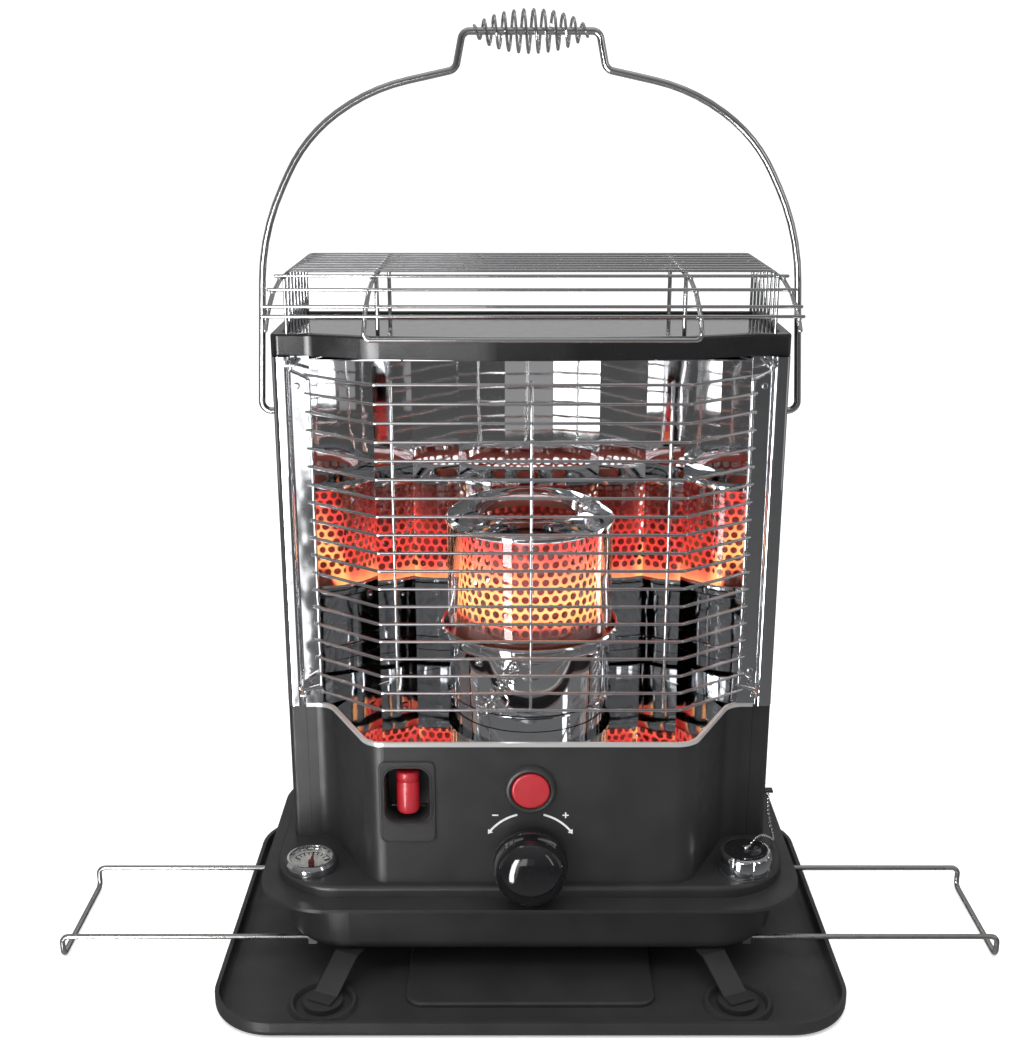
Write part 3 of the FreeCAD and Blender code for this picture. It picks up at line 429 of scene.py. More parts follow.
FINISHES = {
    "black_enamel": enamel("charcoal_enamel", (0.024, 0.024, 0.025), 0.40, 0.00003),
    "gloss_black": enamel("gloss_enamel", (0.014, 0.014, 0.015), 0.22, 0.00001),
    "chrome": plated("bright_chrome", (0.80, 0.81, 0.83), 0.05),
    "wire_chrome": plated("plated_wire", (0.80, 0.80, 0.81), 0.12, 0.0001, 160),
    "mirror": mirror_sheet(),
    "steel": brushed("plain_steel", (0.45, 0.45, 0.46), 0.35),
    "zinc_wire": plated("zinc_wire", (0.62, 0.61, 0.60), 0.24, 0.0001, 220, 0.1),
    "glass": glass(),
    "emitter": glow("hot_sheet", EMITTER_STOPS, SKIN_LOW.z, SKIN_HIGH.z, 0.05),
    "red_plastic": plastic("red_plastic", (0.44, 0.010, 0.020), 0.38, 0.3),
    "black_plastic": plastic("black_plastic", (0.008, 0.008, 0.009), 0.10, 0.6),
    "dark_ring": plastic("satin_plastic", (0.028, 0.028, 0.028), 0.42),
    "dial_face": plastic("dial_paint", (0.62, 0.60, 0.56), 0.35),
    "needle": plastic("needle_paint", (0.20, 0.01, 0.01), 0.35),
    "rubber": rubber(),
    "wick_fabric": wick_cloth(),
    "brass": brushed("plain_brass", (0.72, 0.52, 0.22), 0.30),
    "cork": cork(),
    "battery": plastic("cell_wrap", (0.10, 0.12, 0.30), 0.30),
}
for part in frame["record"]["subparts"]:
    for place in frame["nodes"][part["node"]].material_slots:
        place.material = FINISHES[part["material_slot"]]
SPECIAL = {"top_plate": plated("worktop_sheet", (0.42, 0.42, 0.43), 0.10, 0.0002, 14, 0.06),
           "panel_trim": Finish("satin_trim", (0.66, 0.65, 0.64), 0.32, metallic=0.55).material}
for node, material in SPECIAL.items():
    for place in frame["nodes"][node].material_slots:
        place.material = material


# ---------------------------------------------------------------- cap chain
CHAIN_ROUTE = [(160.6, -40.2, 87.6), (164.5, -36.0, 91.0), (171.5, -29.0, 91.0), (178.5, -21.0, 84.0),
               (183.5, -12.0, 76.0), (185.5, 0.0, 73.5), (184.5, 10.0, 79.5), (183.0, 14.0, 91.5),
               (183.0, 14.0, 104.0)]
CHAIN_WIDTH, CHAIN_LENGTH = 2.4 * MM, 89.9 * MM
BEAD_PITCH, THREAD = 3.1 * MM, CHAIN_WIDTH / 7


def smooth_route(points):
    """Points along the route's NURBS spline."""
    curve = bpy.data.curves.new("route", "CURVE")
    curve.dimensions = "3D"
    curve.resolution_u = 24
    spline = curve.splines.new("NURBS")
    spline.points.add(len(points) - 1)
    for slot, point in zip(spline.points, points):
        slot.co = (*point, 1)
    spline.order_u = 3
    spline.use_endpoint_u = True
    holder = bpy.data.objects.new("route", curve)
    bpy.context.scene.collection.objects.link(holder)
    bpy.context.view_layer.update()
    mesh = bpy.data.meshes.new_from_object(holder)
    path = [v.co.copy() for v in mesh.vertices]
    bpy.data.objects.remove(holder)
    bpy.data.meshes.remove(mesh)
    return path


def evenly(path, pitch):
    """Points a pitch apart along a fine path, first and last included."""
    lengths = [0.0]
    for a, b in zip(path, path[1:]):
        lengths.append(lengths[-1] + (b - a).length)
    count = round(lengths[-1] / pitch)
    spots, i = [], 0
    for k in range(count + 1):
        goal = lengths[-1] * k / count
        while i < len(path) - 2 and lengths[i + 1] < goal:
            i += 1
        share = (goal - lengths[i]) / (lengths[i + 1] - lengths[i])
        spots.append(path[i].lerp(path[i + 1], share))
    return spots


def cap_chain():
    path = smooth_route([Vector(p) * MM for p in CHAIN_ROUTE])
    bm = bmesh.new()
    for spot in evenly(path, BEAD_PITCH):
        blob(bm, spot, (CHAIN_WIDTH / 2,) * 3)
    sweep(bm, path, THREAD, 8)
    chain = finished("ball_chain", bm, FINISHES["chrome"], None, ["cap_chain"])
    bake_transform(chain)


# ---------------------------------------------------------------- wire guards
WIRE = 1.1 * MM
GUARD_ROWS = 19
GUARD_CORNER_X, GUARD_STAY_X = 104.3 * MM, 93.0 * MM
GUARD_BEND, JOG = 6 * MM, 3 * MM
MIDDLE_WELD, SIDE_WELD = (1.7 * MM, 1.3 * MM, 1.4 * MM), (1.7 * MM, 1.5 * MM, 1.4 * MM)


def across(shape):
    """The points mirrored to the other side, in reverse order."""
    return [Vector((-x, y, z)) for x, y, z in reversed([Vector(p) for p in shape])]


def pivot(joint):
    return Vector(next(j["pos_m"] for j in frame["joints"] if j["name"] == joint))


def front_guard():
    low, high, _ = span("guard_wires")
    bottom, top = low.z + WIRE, high.z - WIRE
    front, side, end_x = low.y + WIRE, high.y - 0.8 * WIRE, high.x - 0.6 * WIRE
    rows = [bottom + (top - bottom) * k / (GUARD_ROWS - 1) for k in range(GUARD_ROWS)]
    bm = bmesh.new()
    for z in rows:
        half = [(-end_x, side, z), (-GUARD_CORNER_X, front, z)]
        sweep(bm, bent(half + across(half), GUARD_BEND), WIRE)
    finished("guard_rows", bm, FINISHES["wire_chrome"], "front_guard", ["guard_wires"])

    bm = bmesh.new()
    low, high, _ = span("guard_uprights")
    behind, overrun = 2 * WIRE - 0.2 * MM, 2 * MM
    for x in (-GUARD_STAY_X, 0, GUARD_STAY_X):
        sweep(bm, [Vector((x, front + behind, z)) for z in (bottom - overrun, top + overrun)], WIRE)
        for z in rows:
            blob(bm, Vector((x, front + behind / 2, z)), MIDDLE_WELD)
    hinge = pivot("front_guard_hinge")
    stay_x, stay_y, pin = end_x - 2.5 * MM, side - 1.1 * MM + behind, 1.3 * MM
    tight = 1.6 * MM
    for sign in (-1, 1):
        pin_x = -sign * hinge.x
        at = [(pin_x, hinge.y, low.z), (pin_x, hinge.y, bottom - 3.4 * MM),
              (sign * stay_x, stay_y, bottom + JOG), (sign * stay_x, stay_y, top - JOG),
              (pin_x, hinge.y, high.z - 6 * MM), (pin_x, hinge.y, high.z)]
        sweep(bm, bent(at, [0, tight, JOG, JOG, tight, 0]), pin)
        for z in rows[1:-1]:
            blob(bm, Vector((sign * stay_x, stay_y - behind / 2, z)), SIDE_WELD)
    finished("guard_stays", bm, FINISHES["wire_chrome"], "front_guard", ["guard_uprights"])


COMB_COUNT, COMB_PITCH = 8, 15.1 * MM
NOSE = [(-23.0, 0.0), (-54.0, -5.0), (-74.0, -13.0), (-82.0, -18.0)]
RAIL_X, RAIL_WIRE = 105.0 * MM, 1.5 * MM
SILL_Y, SILL_DROP = -87.5 * MM, 32.0 * MM
RAIL_BACK, RAIL_FRONT, POST_Y = 104 * MM, 6 * MM, 3.5 * MM
RAIL_BEND, SILL_KNEE = 4 * MM, 6 * MM
RAIL_WELD = (1.7 * MM, 1.8 * MM, 1.4 * MM)


def top_guard():
    _, high, _ = span("top_guard_wires")
    level, back, leg_x = high.z - WIRE, high.y - WIRE, high.x - 1 * MM
    lip, plate_top = span("top_cover")[1].z, span("top_plate")[1].z
    nose = [(y * MM, level + drop * MM) for y, drop in NOSE]
    bm = bmesh.new()
    comb = [back - COMB_PITCH * k for k in range(COMB_COUNT)]
    for k, y in enumerate(comb):
        foot = lip if k in (0, COMB_COUNT - 1) else plate_top
        half = [(-leg_x, y, foot), (-leg_x, y, level)]
        sweep(bm, bent(half + across(half), GUARD_BEND), WIRE)
    for y, z in nose:
        sweep(bm, [Vector((-high.x, y, z)), Vector((high.x, y, z))], WIRE)
    finished("top_guard_comb", bm, FINISHES["wire_chrome"], "base", ["top_guard_wires"])

    bm = bmesh.new()
    under = WIRE + RAIL_WIRE - 0.3 * MM
    shelf, sill = level - under, level - SILL_DROP
    lip_run = [(y + 1.5 * MM, z - under) for y, z in nose]
    half = [(-RAIL_X, RAIL_BACK, plate_top), (-RAIL_X, RAIL_BACK, shelf), (-RAIL_X, RAIL_FRONT, shelf)]
    half += [(-RAIL_X, y, z) for y, z in lip_run]
    half += [(-RAIL_X, SILL_Y, sill + SILL_KNEE), (-RAIL_X, SILL_Y, sill)]
    sweep(bm, bent(half + across(half), RAIL_BEND), RAIL_WIRE)
    for sign in (-1, 1):
        inner, outer = sign * RAIL_X, sign * (leg_x - 2 * MM)
        run = [(outer, RAIL_FRONT, shelf)] + [(outer, y, z) for y, z in lip_run]
        sweep(bm, bent(run + [(outer, SILL_Y, sill + SILL_KNEE)], RAIL_BEND), RAIL_WIRE)
        sweep(bm, [Vector((inner, POST_Y, z)) for z in (plate_top, shelf)], RAIL_WIRE)
        for x, crossings in ((inner, [(y, level) for y in comb] + nose), (outer, nose)):
            for y, z in crossings:
                blob(bm, Vector((x, y, z - under / 2)), RAIL_WELD)
    finished("top_guard_rails", bm, FINISHES["wire_chrome"], "base", ["top_guard_frame"])


# ---------------------------------------------------------------- handle and stabilisers
BAIL = [(-177, 0), (-198, 0), (-191, 130), (-158, 195), (-112, 227), (-52, 240), (-47, 265)]
BAIL_BENDS = [0, 7, 165, 110, 135, 7, 6]
BAIL_WIRE, BAIL_STEP, BAIL_SIDES = 2.5 * MM, math.radians(5), 16


def handle():
    axis = pivot("handle_hinge")
    half = [axis + Vector((x, 0, z)) * MM for x, z in BAIL]
    radii = [b * MM for b in BAIL_BENDS]
    bm = bmesh.new()
    sweep(bm, bent(half + across(half), radii + radii[::-1], BAIL_STEP), BAIL_WIRE, BAIL_SIDES)
    finished("bail", bm, FINISHES["wire_chrome"], "handle", ["handle_wire"])

    low, high, middle = span("grip_coil")
    thick, turns, steps = 1.0 * MM, 11.5, 26
    tight, belly, fullness, overshoot = 3.6 * MM, high.z - middle.z - thick, 0.62, 0.12
    path = []
    for k in range(int(turns * steps) + 1):
        share = k / (turns * steps)
        bulge = math.sin(math.pi * share) * (1 + overshoot) - overshoot
        swell = min(1, max(0, bulge)) ** fullness
        radius = tight + (belly - tight) * swell
        a = 2 * math.pi * turns * share + math.pi / 2
        x = low.x + thick + (high.x - low.x - 2 * thick) * share
        path.append(Vector((x, middle.y + radius * math.cos(a), middle.z + radius * math.sin(a))))
    bm = bmesh.new()
    sweep(bm, path, thick, 8)
    finished("spring_grip", bm, FINISHES["wire_chrome"], "handle", ["grip_coil"])


def stabilisers():
    thick, bend = 2.0 * MM, 5 * MM
    for side, sign in (("left", -1), ("right", 1)):
        low, high, _ = span(side + "_stabiliser")
        inner = sign * min(abs(low.x), abs(high.x))
        outer = sign * (max(abs(low.x), abs(high.x)) - thick)
        front, back, top, floor_z = low.y + thick, high.y - thick, high.z - thick, low.z + thick
        route = [(inner, front, top), (outer, front, top), (outer, front, floor_z), (outer, back, floor_z),
                 (outer, back, top), (inner, back, top)]
        bm = bmesh.new()
        sweep(bm, bent(route, bend), thick, 14)
        finished(side + "_loop_wire", bm, FINISHES["zinc_wire"], side + "_loop",
                 [side + "_stabiliser"])


# ---------------------------------------------------------------- burner
COLUMNS, ROWS = 46, 11
HOLE, TOP_BORDER, SHEET = 2.75 * MM, 1.2 * MM, 0.7 * MM
CELL_POINTS, MERGE = 12, 0.05 * MM


def emitter():
    """Perforated sheet: six-sided cells round the cylinder, each with a round hole in it."""
    radius = SKIN_HIGH.x
    pitch = 2 * math.pi * radius / COLUMNS
    rise = pitch * math.sqrt(3) / 2
    reach = pitch / math.sqrt(3)
    top_row = SKIN_HIGH.z - reach - TOP_BORDER
    low_edge = top_row - (ROWS - 1) * rise - reach
    bm = bmesh.new()

    def at(along, z):
        a = along / radius
        return Vector((radius * math.cos(a), SKIN_MIDDLE.y + radius * math.sin(a), z))

    for row in range(ROWS):
        z = top_row - row * rise
        for column in range(COLUMNS):
            along = (column + 0.5 * (row % 2)) * pitch
            rim, hole = [], []
            for k in range(CELL_POINTS):
                a = math.radians(360 / CELL_POINTS * k)
                size = reach if k % 2 else pitch / 2
                dx, dz = size * math.cos(a), size * math.sin(a)
                if row == 0 and dz > reach * 0.4:
                    dz = reach
                if row == ROWS - 1 and dz < -reach * 0.4:
                    dz = -reach
                rim.append(bm.verts.new(at(along + dx, z + dz)))
                hole.append(bm.verts.new(at(along + HOLE * math.cos(a), z + HOLE * math.sin(a))))
            ring_faces(bm, rim, hole)
    for low, high in ((SKIN_LOW.z, low_edge), (top_row + reach, SKIN_HIGH.z)):
        loops = [[bm.verts.new(at(k * pitch / 2, z)) for k in range(2 * COLUMNS)] for z in (low, high)]
        ring_faces(bm, *loops)
    bmesh.ops.remove_doubles(bm, verts=bm.verts, dist=MERGE)
    sheet = finished("perforated_emitter", bm, FINISHES["emitter"], "burner", ["emitter_cylinder"])
    shell = sheet.modifiers.new("sheet", "SOLIDIFY")
    shell.thickness = SHEET
    shell.offset = -1
    core = glow("hot_core", CORE_STOPS, SKIN_LOW.z, SKIN_HIGH.z, 0.08)
    for place in frame["nodes"]["inner_flame_tube"].material_slots:
        place.material = core


def turned(name, profile, ease_radius, node_names, finish, body, centre, axis=UP):
    """A lathe-turned piece from a closed outline of (radius, height) points in millimetres."""
    bm = bmesh.new()
    outline = [(r * MM, h * MM) for r, h in profile]
    revolve(bm, eased(outline, ease_radius * MM), centre, axis, FINE, closed=True)
    finished(name, bm, FINISHES[finish], body, node_names, 50)


def burner_metal():
    centre = Vector((0, SKIN_MIDDLE.y, 0))
    low = span("burner_base")[0].z / MM
    base = [(40.0, low), (60.0, low), (60.0, 226.0), (60.8, 227.6), (64.5, 227.6), (66.4, 229.5),
            (66.4, 236.0), (65.4, 238.0), (63.8, 237.0), (63.4, 231.0), (61.6, 229.6), (49.0, 229.0),
            (49.0, 228.0), (58.8, 227.6), (58.8, low + 1), (40.0, low + 1)]
    turned("burner_sleeve", base, 0.45, ["burner_base"], "chrome", "burner", centre)
    top = [(59.2, 317.6), (59.2, 314.4), (58.2, 314.4), (58.2, 318.8), (47.0, 325.6), (40.4, 323.4),
           (40.4, 314.2), (39.4, 314.2), (39.4, 324.8), (46.2, 327.8), (52.0, 326.0), (60.0, 321.2),
           (62.2, 318.4), (62.2, 316.2), (61.2, 316.2), (61.0, 317.8)]
    turned("burner_crown", top, 0.35, ["burner_top_ring"], "chrome", "burner", centre)
    low, high, _ = span("glass_chimney")
    tube = [(59.1, low.z / MM), (60.9, low.z / MM), (60.9, high.z / MM), (59.1, high.z / MM)]
    turned("glass_tube", tube, 0.6, ["glass_chimney"], "glass", "burner", centre)

    bm = bmesh.new()
    first_clip, clips, half_height, thick = -128, 4, 3, 0.8 * MM
    corners = ((-1, -1), (1, -1), (0.7, 1), (-0.7, 1))
    for k in range(clips):
        a = math.radians(first_clip + 360 / clips * k)
        out = Vector((math.cos(a), math.sin(a), 0))
        along = UP.cross(out)
        for height, proud, size in ((231.5, 60.6, 4.0), (222.0, 60.4, 3.0)):
            spot = centre + out * proud * MM + UP * height * MM
            plate(bm, [spot + along * s * size * MM + UP * v * half_height * MM for s, v in corners],
                  out * thick)
        blob(bm, centre + out * 61.4 * MM + UP * 222 * MM, (1.5 * MM,) * 3)
    finished("burner_clips", bm, FINISHES["chrome"], "burner")


def burner_knob():
    """Coil of wire on a slanting pin with a loose ring, turned with the fingertips to seat the burner."""
    root, tip = Vector((-10.0, -28.0, 224.0)) * MM, Vector((-35.0, -39.5, 193.0)) * MM
    along = (tip - root).normalized()
    side = along.orthogonal().normalized()
    other = along.cross(side)
    turns, steps, thick, radius, lead = 11, 20, 0.85 * MM, 4.6 * MM, 0.06
    bm = bmesh.new()
    path = []
    for k in range(turns * steps + 1):
        a = 2 * math.pi * k / steps
        spot = root.lerp(tip, lead + (1 - lead) * k / (turns * steps))
        path.append(spot + (side * math.cos(a) + other * math.sin(a)) * radius)
    sweep(bm, path, thick, 8)
    sweep(bm, [root - along * 1 * MM, tip], 1.4 * MM, 10)
    blob(bm, root, (2.6 * MM,) * 3)
    ring_centre = root.lerp(tip, 0.72) + Vector((7.0, -4.0, 1.0)) * MM
    ring_radius, ring_steps = 5.2 * MM, 28
    ring = [ring_centre + Vector((math.cos(a), 0.3 * math.sin(a), 0.95 * math.sin(a))) * ring_radius
            for a in (2 * math.pi * k / ring_steps for k in range(ring_steps + 1))]
    sweep(bm, ring, 0.7 * MM, 8)
    finished("coil_knob", bm, FINISHES["wire_chrome"], "burner", ["burner_knob"])


# ---------------------------------------------------------------- tank fittings
def fuel_cap():
    """Chromed cap with eight wide lobes, a dark inset top and a lug for the chain."""
    low, high, middle = span("fuel_cap")
    lobes, steps, groove, groove_share, phase, fade_over = 8, 160, 1.5 * MM, 0.24, 0.35, 3.2
    reach, stud = (high.x - low.x) / 2, 3.0 * MM
    rim_z = high.z - stud
    stations = [(low.z, -1.2), (low.z + 0.8 * MM, -0.3), (low.z + 2.4 * MM, 0.0), (rim_z - 2.6 * MM, -0.1),
                (rim_z - 1.0 * MM, -0.6), (rim_z - 0.2 * MM, -1.6), (rim_z, -2.4), (rim_z - 0.1 * MM, -3.2),
                (rim_z - 0.8 * MM, -3.4)]
    bm = bmesh.new()
    loops = []
    for z, inset in stations:
        fade = max(0.0, 1 + inset / fade_over)
        loop = []
        for k in range(steps):
            a = 2 * math.pi * (k + 0.5) / steps
            wave = abs((lobes * a / (2 * math.pi) + phase) % 1 - 0.5) * 2
            cut = max(0.0, 1 - wave / groove_share) ** 0.7 * groove * fade
            r = reach + inset * MM - cut
            loop.append(bm.verts.new((middle.x + r * math.cos(a), middle.y + r * math.sin(a), z)))
        loops.append(loop)
    for one, two in zip(loops, loops[1:]):
        ring_faces(bm, one, two)
    bm.faces.new(loops[0][::-1])
    bm.faces.new(loops[-1])
    finished("cap_body", bm, FINISHES["chrome"], "cap", ["fuel_cap"], 40)

    bm = bmesh.new()
    base = Vector((middle.x, middle.y, 0))
    top = rim_z / MM
    disc = [(0, top - 0.8), (15.6, top - 0.8), (15.6, top - 0.1), (14.6, top - 0.1), (13.8, top - 0.5),
            (9.0, top - 0.4), (8.0, top - 0.1), (0, top)]
    revolve(bm, [(r * MM, z * MM) for r, z in disc], base, UP, ROUND)
    finished("cap_inset", bm, FINISHES["black_plastic"], "cap")

    bm = bmesh.new()
    sweep(bm, [base + UP * (rim_z - 0.4 * MM), base + UP * (high.z - 1 * MM)], 2.0 * MM, 20)
    eye = [base + Vector((2.2 * MM * math.cos(t), 0, high.z - 0.9 * MM + 0.4 * MM * math.sin(t)))
           for t in (math.pi * k / 8 for k in range(9))]
    sweep(bm, eye, 0.5 * MM, 8)
    finished("cap_lug", bm, FINISHES["chrome"], "cap")


def gauge():
    _, _, middle = span("gauge_bezel")
    centre = Vector((middle.x, middle.y, 0))
    bezel = [(3.0, 61.2), (13.8, 61.2), (13.8, 70.2), (19.0, 70.2), (19.0, 75.4), (17.4, 77.9), (15.6, 77.9),
             (15.6, 76.4), (16.9, 76.4), (16.9, 75.0), (16.0, 75.0), (16.0, 71.0), (12.9, 71.0), (12.9, 62.0),
             (3.0, 62.0)]
    turned("gauge_rim", bezel, 0.3, ["gauge_bezel"], "chrome", "base", centre)
    lens = [(0.0, 75.2), (16.6, 75.2), (16.7, 75.9), (14.0, 76.6), (8.0, 77.1), (0.0, 77.3)]
    bm = bmesh.new()
    revolve(bm, [(r * MM, z * MM) for r, z in lens], centre, UP, ROUND)
    finished("gauge_glass", bm, FINISHES["glass"], "base", ["gauge_lens"], 50)

    face = centre + UP * span("gauge_dial")[1].z
    ink, start, sweep_angle = UP * 0.12 * MM, 30, 120
    bm = bmesh.new()
    ticks, major = 9, 4
    for k in range(ticks):
        a = math.radians(start + sweep_angle * k / (ticks - 1))
        out = Vector((math.cos(a), math.sin(a), 0))
        along = UP.cross(out) * (0.35 if k % major else 0.6) * MM
        inner, outer = (10.5 if k % major else 9.5) * MM, 13.5 * MM
        corners = ((inner, -1), (outer, -1), (outer, 1), (inner, 1))
        plate(bm, [face + out * r + along * s for r, s in corners], ink)
    steps = 24
    band = [math.radians(start + sweep_angle * k / steps) for k in range(steps + 1)]
    spots = [face + Vector((math.cos(a), math.sin(a), 0)) * r * MM
             for r, run in ((14.3, band), (13.7, band[::-1])) for a in run]
    plate(bm, spots, ink)
    finished("dial_scale", bm, FINISHES["black_plastic"], "base")
    bm = bmesh.new()
    wedge = [face + Vector((x, y, 0)) * MM for x, y in ((0.0, -2.4), (-3.4, -12.5), (3.4, -12.5))]
    plate(bm, wedge, ink)
    finished("dial_wedge", bm, FINISHES["needle"], "base")


# ---------------------------------------------------------------- panel controls
FORWARD = Vector((0, -1, 0))


def knob():
    low, high, middle = span("wick_knob")
    centre = Vector((middle.x, 0, middle.z))
    front, back, radius = -low.y / MM, -high.y / MM, 25.4
    depth, fullness, steps = 17.0, 0.8, 14
    dome = []
    for k in range(steps + 1):
        a = math.pi / 2 * k / steps
        dome.append((radius * math.sin(a) ** fullness, front - depth + depth * math.cos(a) ** fullness))
    skirt = [(radius, back + 5.0), (radius + 0.5, back + 3.6), (radius + 1.2, back + 2.8),
             (radius + 1.2, back + 0.6), (radius + 0.8, back), (3.6, back), (3.6, back + 6), (0, back + 6)]
    bm = bmesh.new()
    revolve(bm, [(r * MM, y * MM) for r, y in dome + skirt], centre, FORWARD, FINE)
    finished("knob_dome", bm, FINISHES["black_plastic"], "knob", ["wick_knob"], 50)
    bm = bmesh.new()
    first_rib, rib_gap, ribs = 118, 9, 3
    for k in range(ribs):
        a = math.radians(first_rib + rib_gap * k)
        out = Vector((math.cos(a), 0, math.sin(a)))
        spot = centre + out * (radius - 0.2) * MM + FORWARD * (back + 9) * MM
        sweep(bm, [spot - FORWARD * 3 * MM, spot + FORWARD * 3 * MM], 0.6 * MM, 8)
    finished("knob_ribs", bm, FINISHES["black_plastic"], "knob")


def button():
    low, high, middle = span("igniting_button")
    centre = Vector((middle.x, 0, middle.z))
    face, back, stem = -low.y / MM, -low.y / MM - 6.5, -high.y / MM
    profile = [(0, face - 0.4), (11.6, face - 0.15), (12.8, face - 0.3), (13.5, face - 1.2),
               (13.6, face - 2.2), (13.6, back), (1.8, back), (1.8, stem), (0, stem)]
    bm = bmesh.new()
    revolve(bm, [(r * MM, y * MM) for r, y in profile], centre, FORWARD, ROUND)
    finished("red_button", bm, FINISHES["red_plastic"], "button", ["igniting_button"], 50)
    low, high, _ = span("button_bezel")
    face, back = -low.y / MM, -high.y / MM
    panel = face - 4.5
    collar = [(13.9, face - 1.5), (15.3, face), (17.0, face - 0.6), (18.3, panel + 1), (18.3, panel),
              (15.9, panel), (15.9, back), (13.9, back)]
    turned("button_collar", collar, 0.4, ["button_bezel"], "dark_ring", "base", centre, FORWARD)


def rounded_loop(bm, width, height, corner, centre, y, arc=8):
    """Closed loop of vertices round a rounded rectangle facing forward."""
    loop = []
    for sx, sz, start in ((1, 1, 0), (-1, 1, 90), (-1, -1, 180), (1, -1, 270)):
        for k in range(arc + 1):
            a = math.radians(start + 90 * k / arc)
            x = sx * (width / 2 - corner) + corner * math.cos(a)
            z = sz * (height / 2 - corner) + corner * math.sin(a)
            loop.append(bm.verts.new((centre[0] + x * MM, y * MM, centre[1] + z * MM)))
    return loop


def shutoff():
    low, high, middle = span("shutoff_bezel")
    face = low.y / MM
    panel, floor_y = face + 1.4, high.y / MM
    frame_at, hole_at = (middle.x, middle.z), (middle.x, pivot("shutoff_press").z + 13 * MM)
    sections = [(40.0, 62.6, 5.0, frame_at, panel), (40.0, 62.6, 5.0, frame_at, face + 0.5),
                (39.0, 61.6, 4.6, frame_at, face + 0.05), (37.2, 59.8, 4.0, frame_at, face),
                (36.6, 59.2, 3.8, frame_at, face + 0.4), (35.4, 46.2, 10.5, hole_at, face + 0.4),
                (34.2, 45.0, 10.2, hole_at, face - 0.4), (32.8, 43.6, 9.6, hole_at, face - 0.4),
                (31.6, 42.4, 9.2, hole_at, face + 0.6), (31.0, 41.8, 9.0, hole_at, face + 3),
                (30.6, 41.4, 8.8, hole_at, floor_y - 1)]
    bm = bmesh.new()
    loops = [rounded_loop(bm, *section) for section in sections]
    outer, lap = (rounded_loop(bm, 31.8, 42.8, 9.0, hole_at, y) for y in (floor_y, panel))
    loops = [outer, lap] + loops
    for one, two in zip(loops, loops[1:]):
        ring_faces(bm, one, two)
    bm.faces.new(loops[-1])
    bm.faces.new(outer)
    finished("shutoff_surround", bm, FINISHES["dark_ring"], "base", ["shutoff_bezel"], 30)


def shutoff_lever():
    """Red half-round lever with a lip across its upper end, and the pin it rocks on."""
    low, high, middle = span("shutoff_lever")
    radius, steps = 8.3 * MM, 20
    axis = pivot("shutoff_press")
    back = axis.y + 0.5 * MM
    belly = back - 3.2 * MM
    stations = [(0.0, 0.86), (0.03, 0.95), (0.08, 1.0), (0.72, 0.98), (0.745, 0.90), (0.77, 0.90),
                (0.80, 0.99), (0.95, 0.97), (0.985, 0.90), (1.0, 0.80)]
    bm = bmesh.new()
    loops = []
    for share, size in stations:
        loop, reach, z = [], radius * size, low.z + (high.z - low.z) * share
        for k in range(steps + 1):
            a = math.pi + math.pi * k / steps
            loop.append(bm.verts.new((middle.x + reach * math.cos(a), belly + reach * math.sin(a), z)))
        for sign in (1, -1):
            loop.append(bm.verts.new((middle.x + sign * reach, back, z)))
        loops.append(loop)
    for one, two in zip(loops, loops[1:]):
        ring_faces(bm, one, two)
    bm.faces.new(loops[0][::-1])
    bm.faces.new(loops[-1])
    finished("red_lever", bm, FINISHES["red_plastic"], "shutoff", ["shutoff_lever"], 50)
    half_pin = Vector(((high.x - low.x) / 2 - 0.9 * MM, 0, 0))
    bm = bmesh.new()
    sweep(bm, [axis - half_pin, axis + half_pin], 1.3 * MM)
    finished("lever_pin", bm, FINISHES["black_plastic"], "shutoff")


def printed_marks():
    """Two turning arrows over the knob, with plain minus and plus signs."""
    ink = Finish("white_ink", (0.80, 0.80, 0.80), 0.45)
    ink.tint(ink.noise(400, 3), 0.85, 1.1)
    _, _, middle = span("wick_knob")
    face = span("front_panel")[0].y
    lift = FORWARD * 0.15 * MM
    radius, half, head = 36.0 * MM, 0.75 * MM, 2.2 * MM
    start, run, steps, tip_angle, sign_angle = 15, 37, 18, 57, 36
    long, thin = 2.2 * MM, 0.45 * MM
    bm = bmesh.new()

    def polar(size, angle):
        return size * math.cos(angle), size * math.sin(angle)

    def mark(points):
        plate(bm, [Vector((middle.x + x, face, middle.z + z)) for x, z in points], lift)

    for sign in (-1, 1):
        angles = [math.radians(90 - sign * (start + run * k / steps)) for k in range(steps + 1)]
        mark([polar(radius + half, a) for a in angles] + [polar(radius - half, a) for a in angles[::-1]])
        tip = polar(radius, math.radians(90 - sign * tip_angle))
        mark([polar(radius + head, angles[-1]), tip, polar(radius - head, angles[-1])])
        x, z = polar(radius + 6.5 * MM, math.radians(90 - sign * sign_angle))
        mark([(x - long, z - thin), (x + long, z - thin), (x + long, z + thin), (x - long, z + thin)])
        if sign > 0:
            for low, high in ((-long, -thin), (thin, long)):
                mark([(x - thin, z + low), (x + thin, z + low), (x + thin, z + high), (x - thin, z + high)])
    finished("printed_arrows", bm, ink.material, "base", crease=20)


cap_chain()
front_guard()
top_guard()
handle()
stabilisers()
emitter()
burner_metal()
burner_knob()
fuel_cap()
gauge()
knob()
button()
shutoff()
shutoff_lever()
printed_marks()


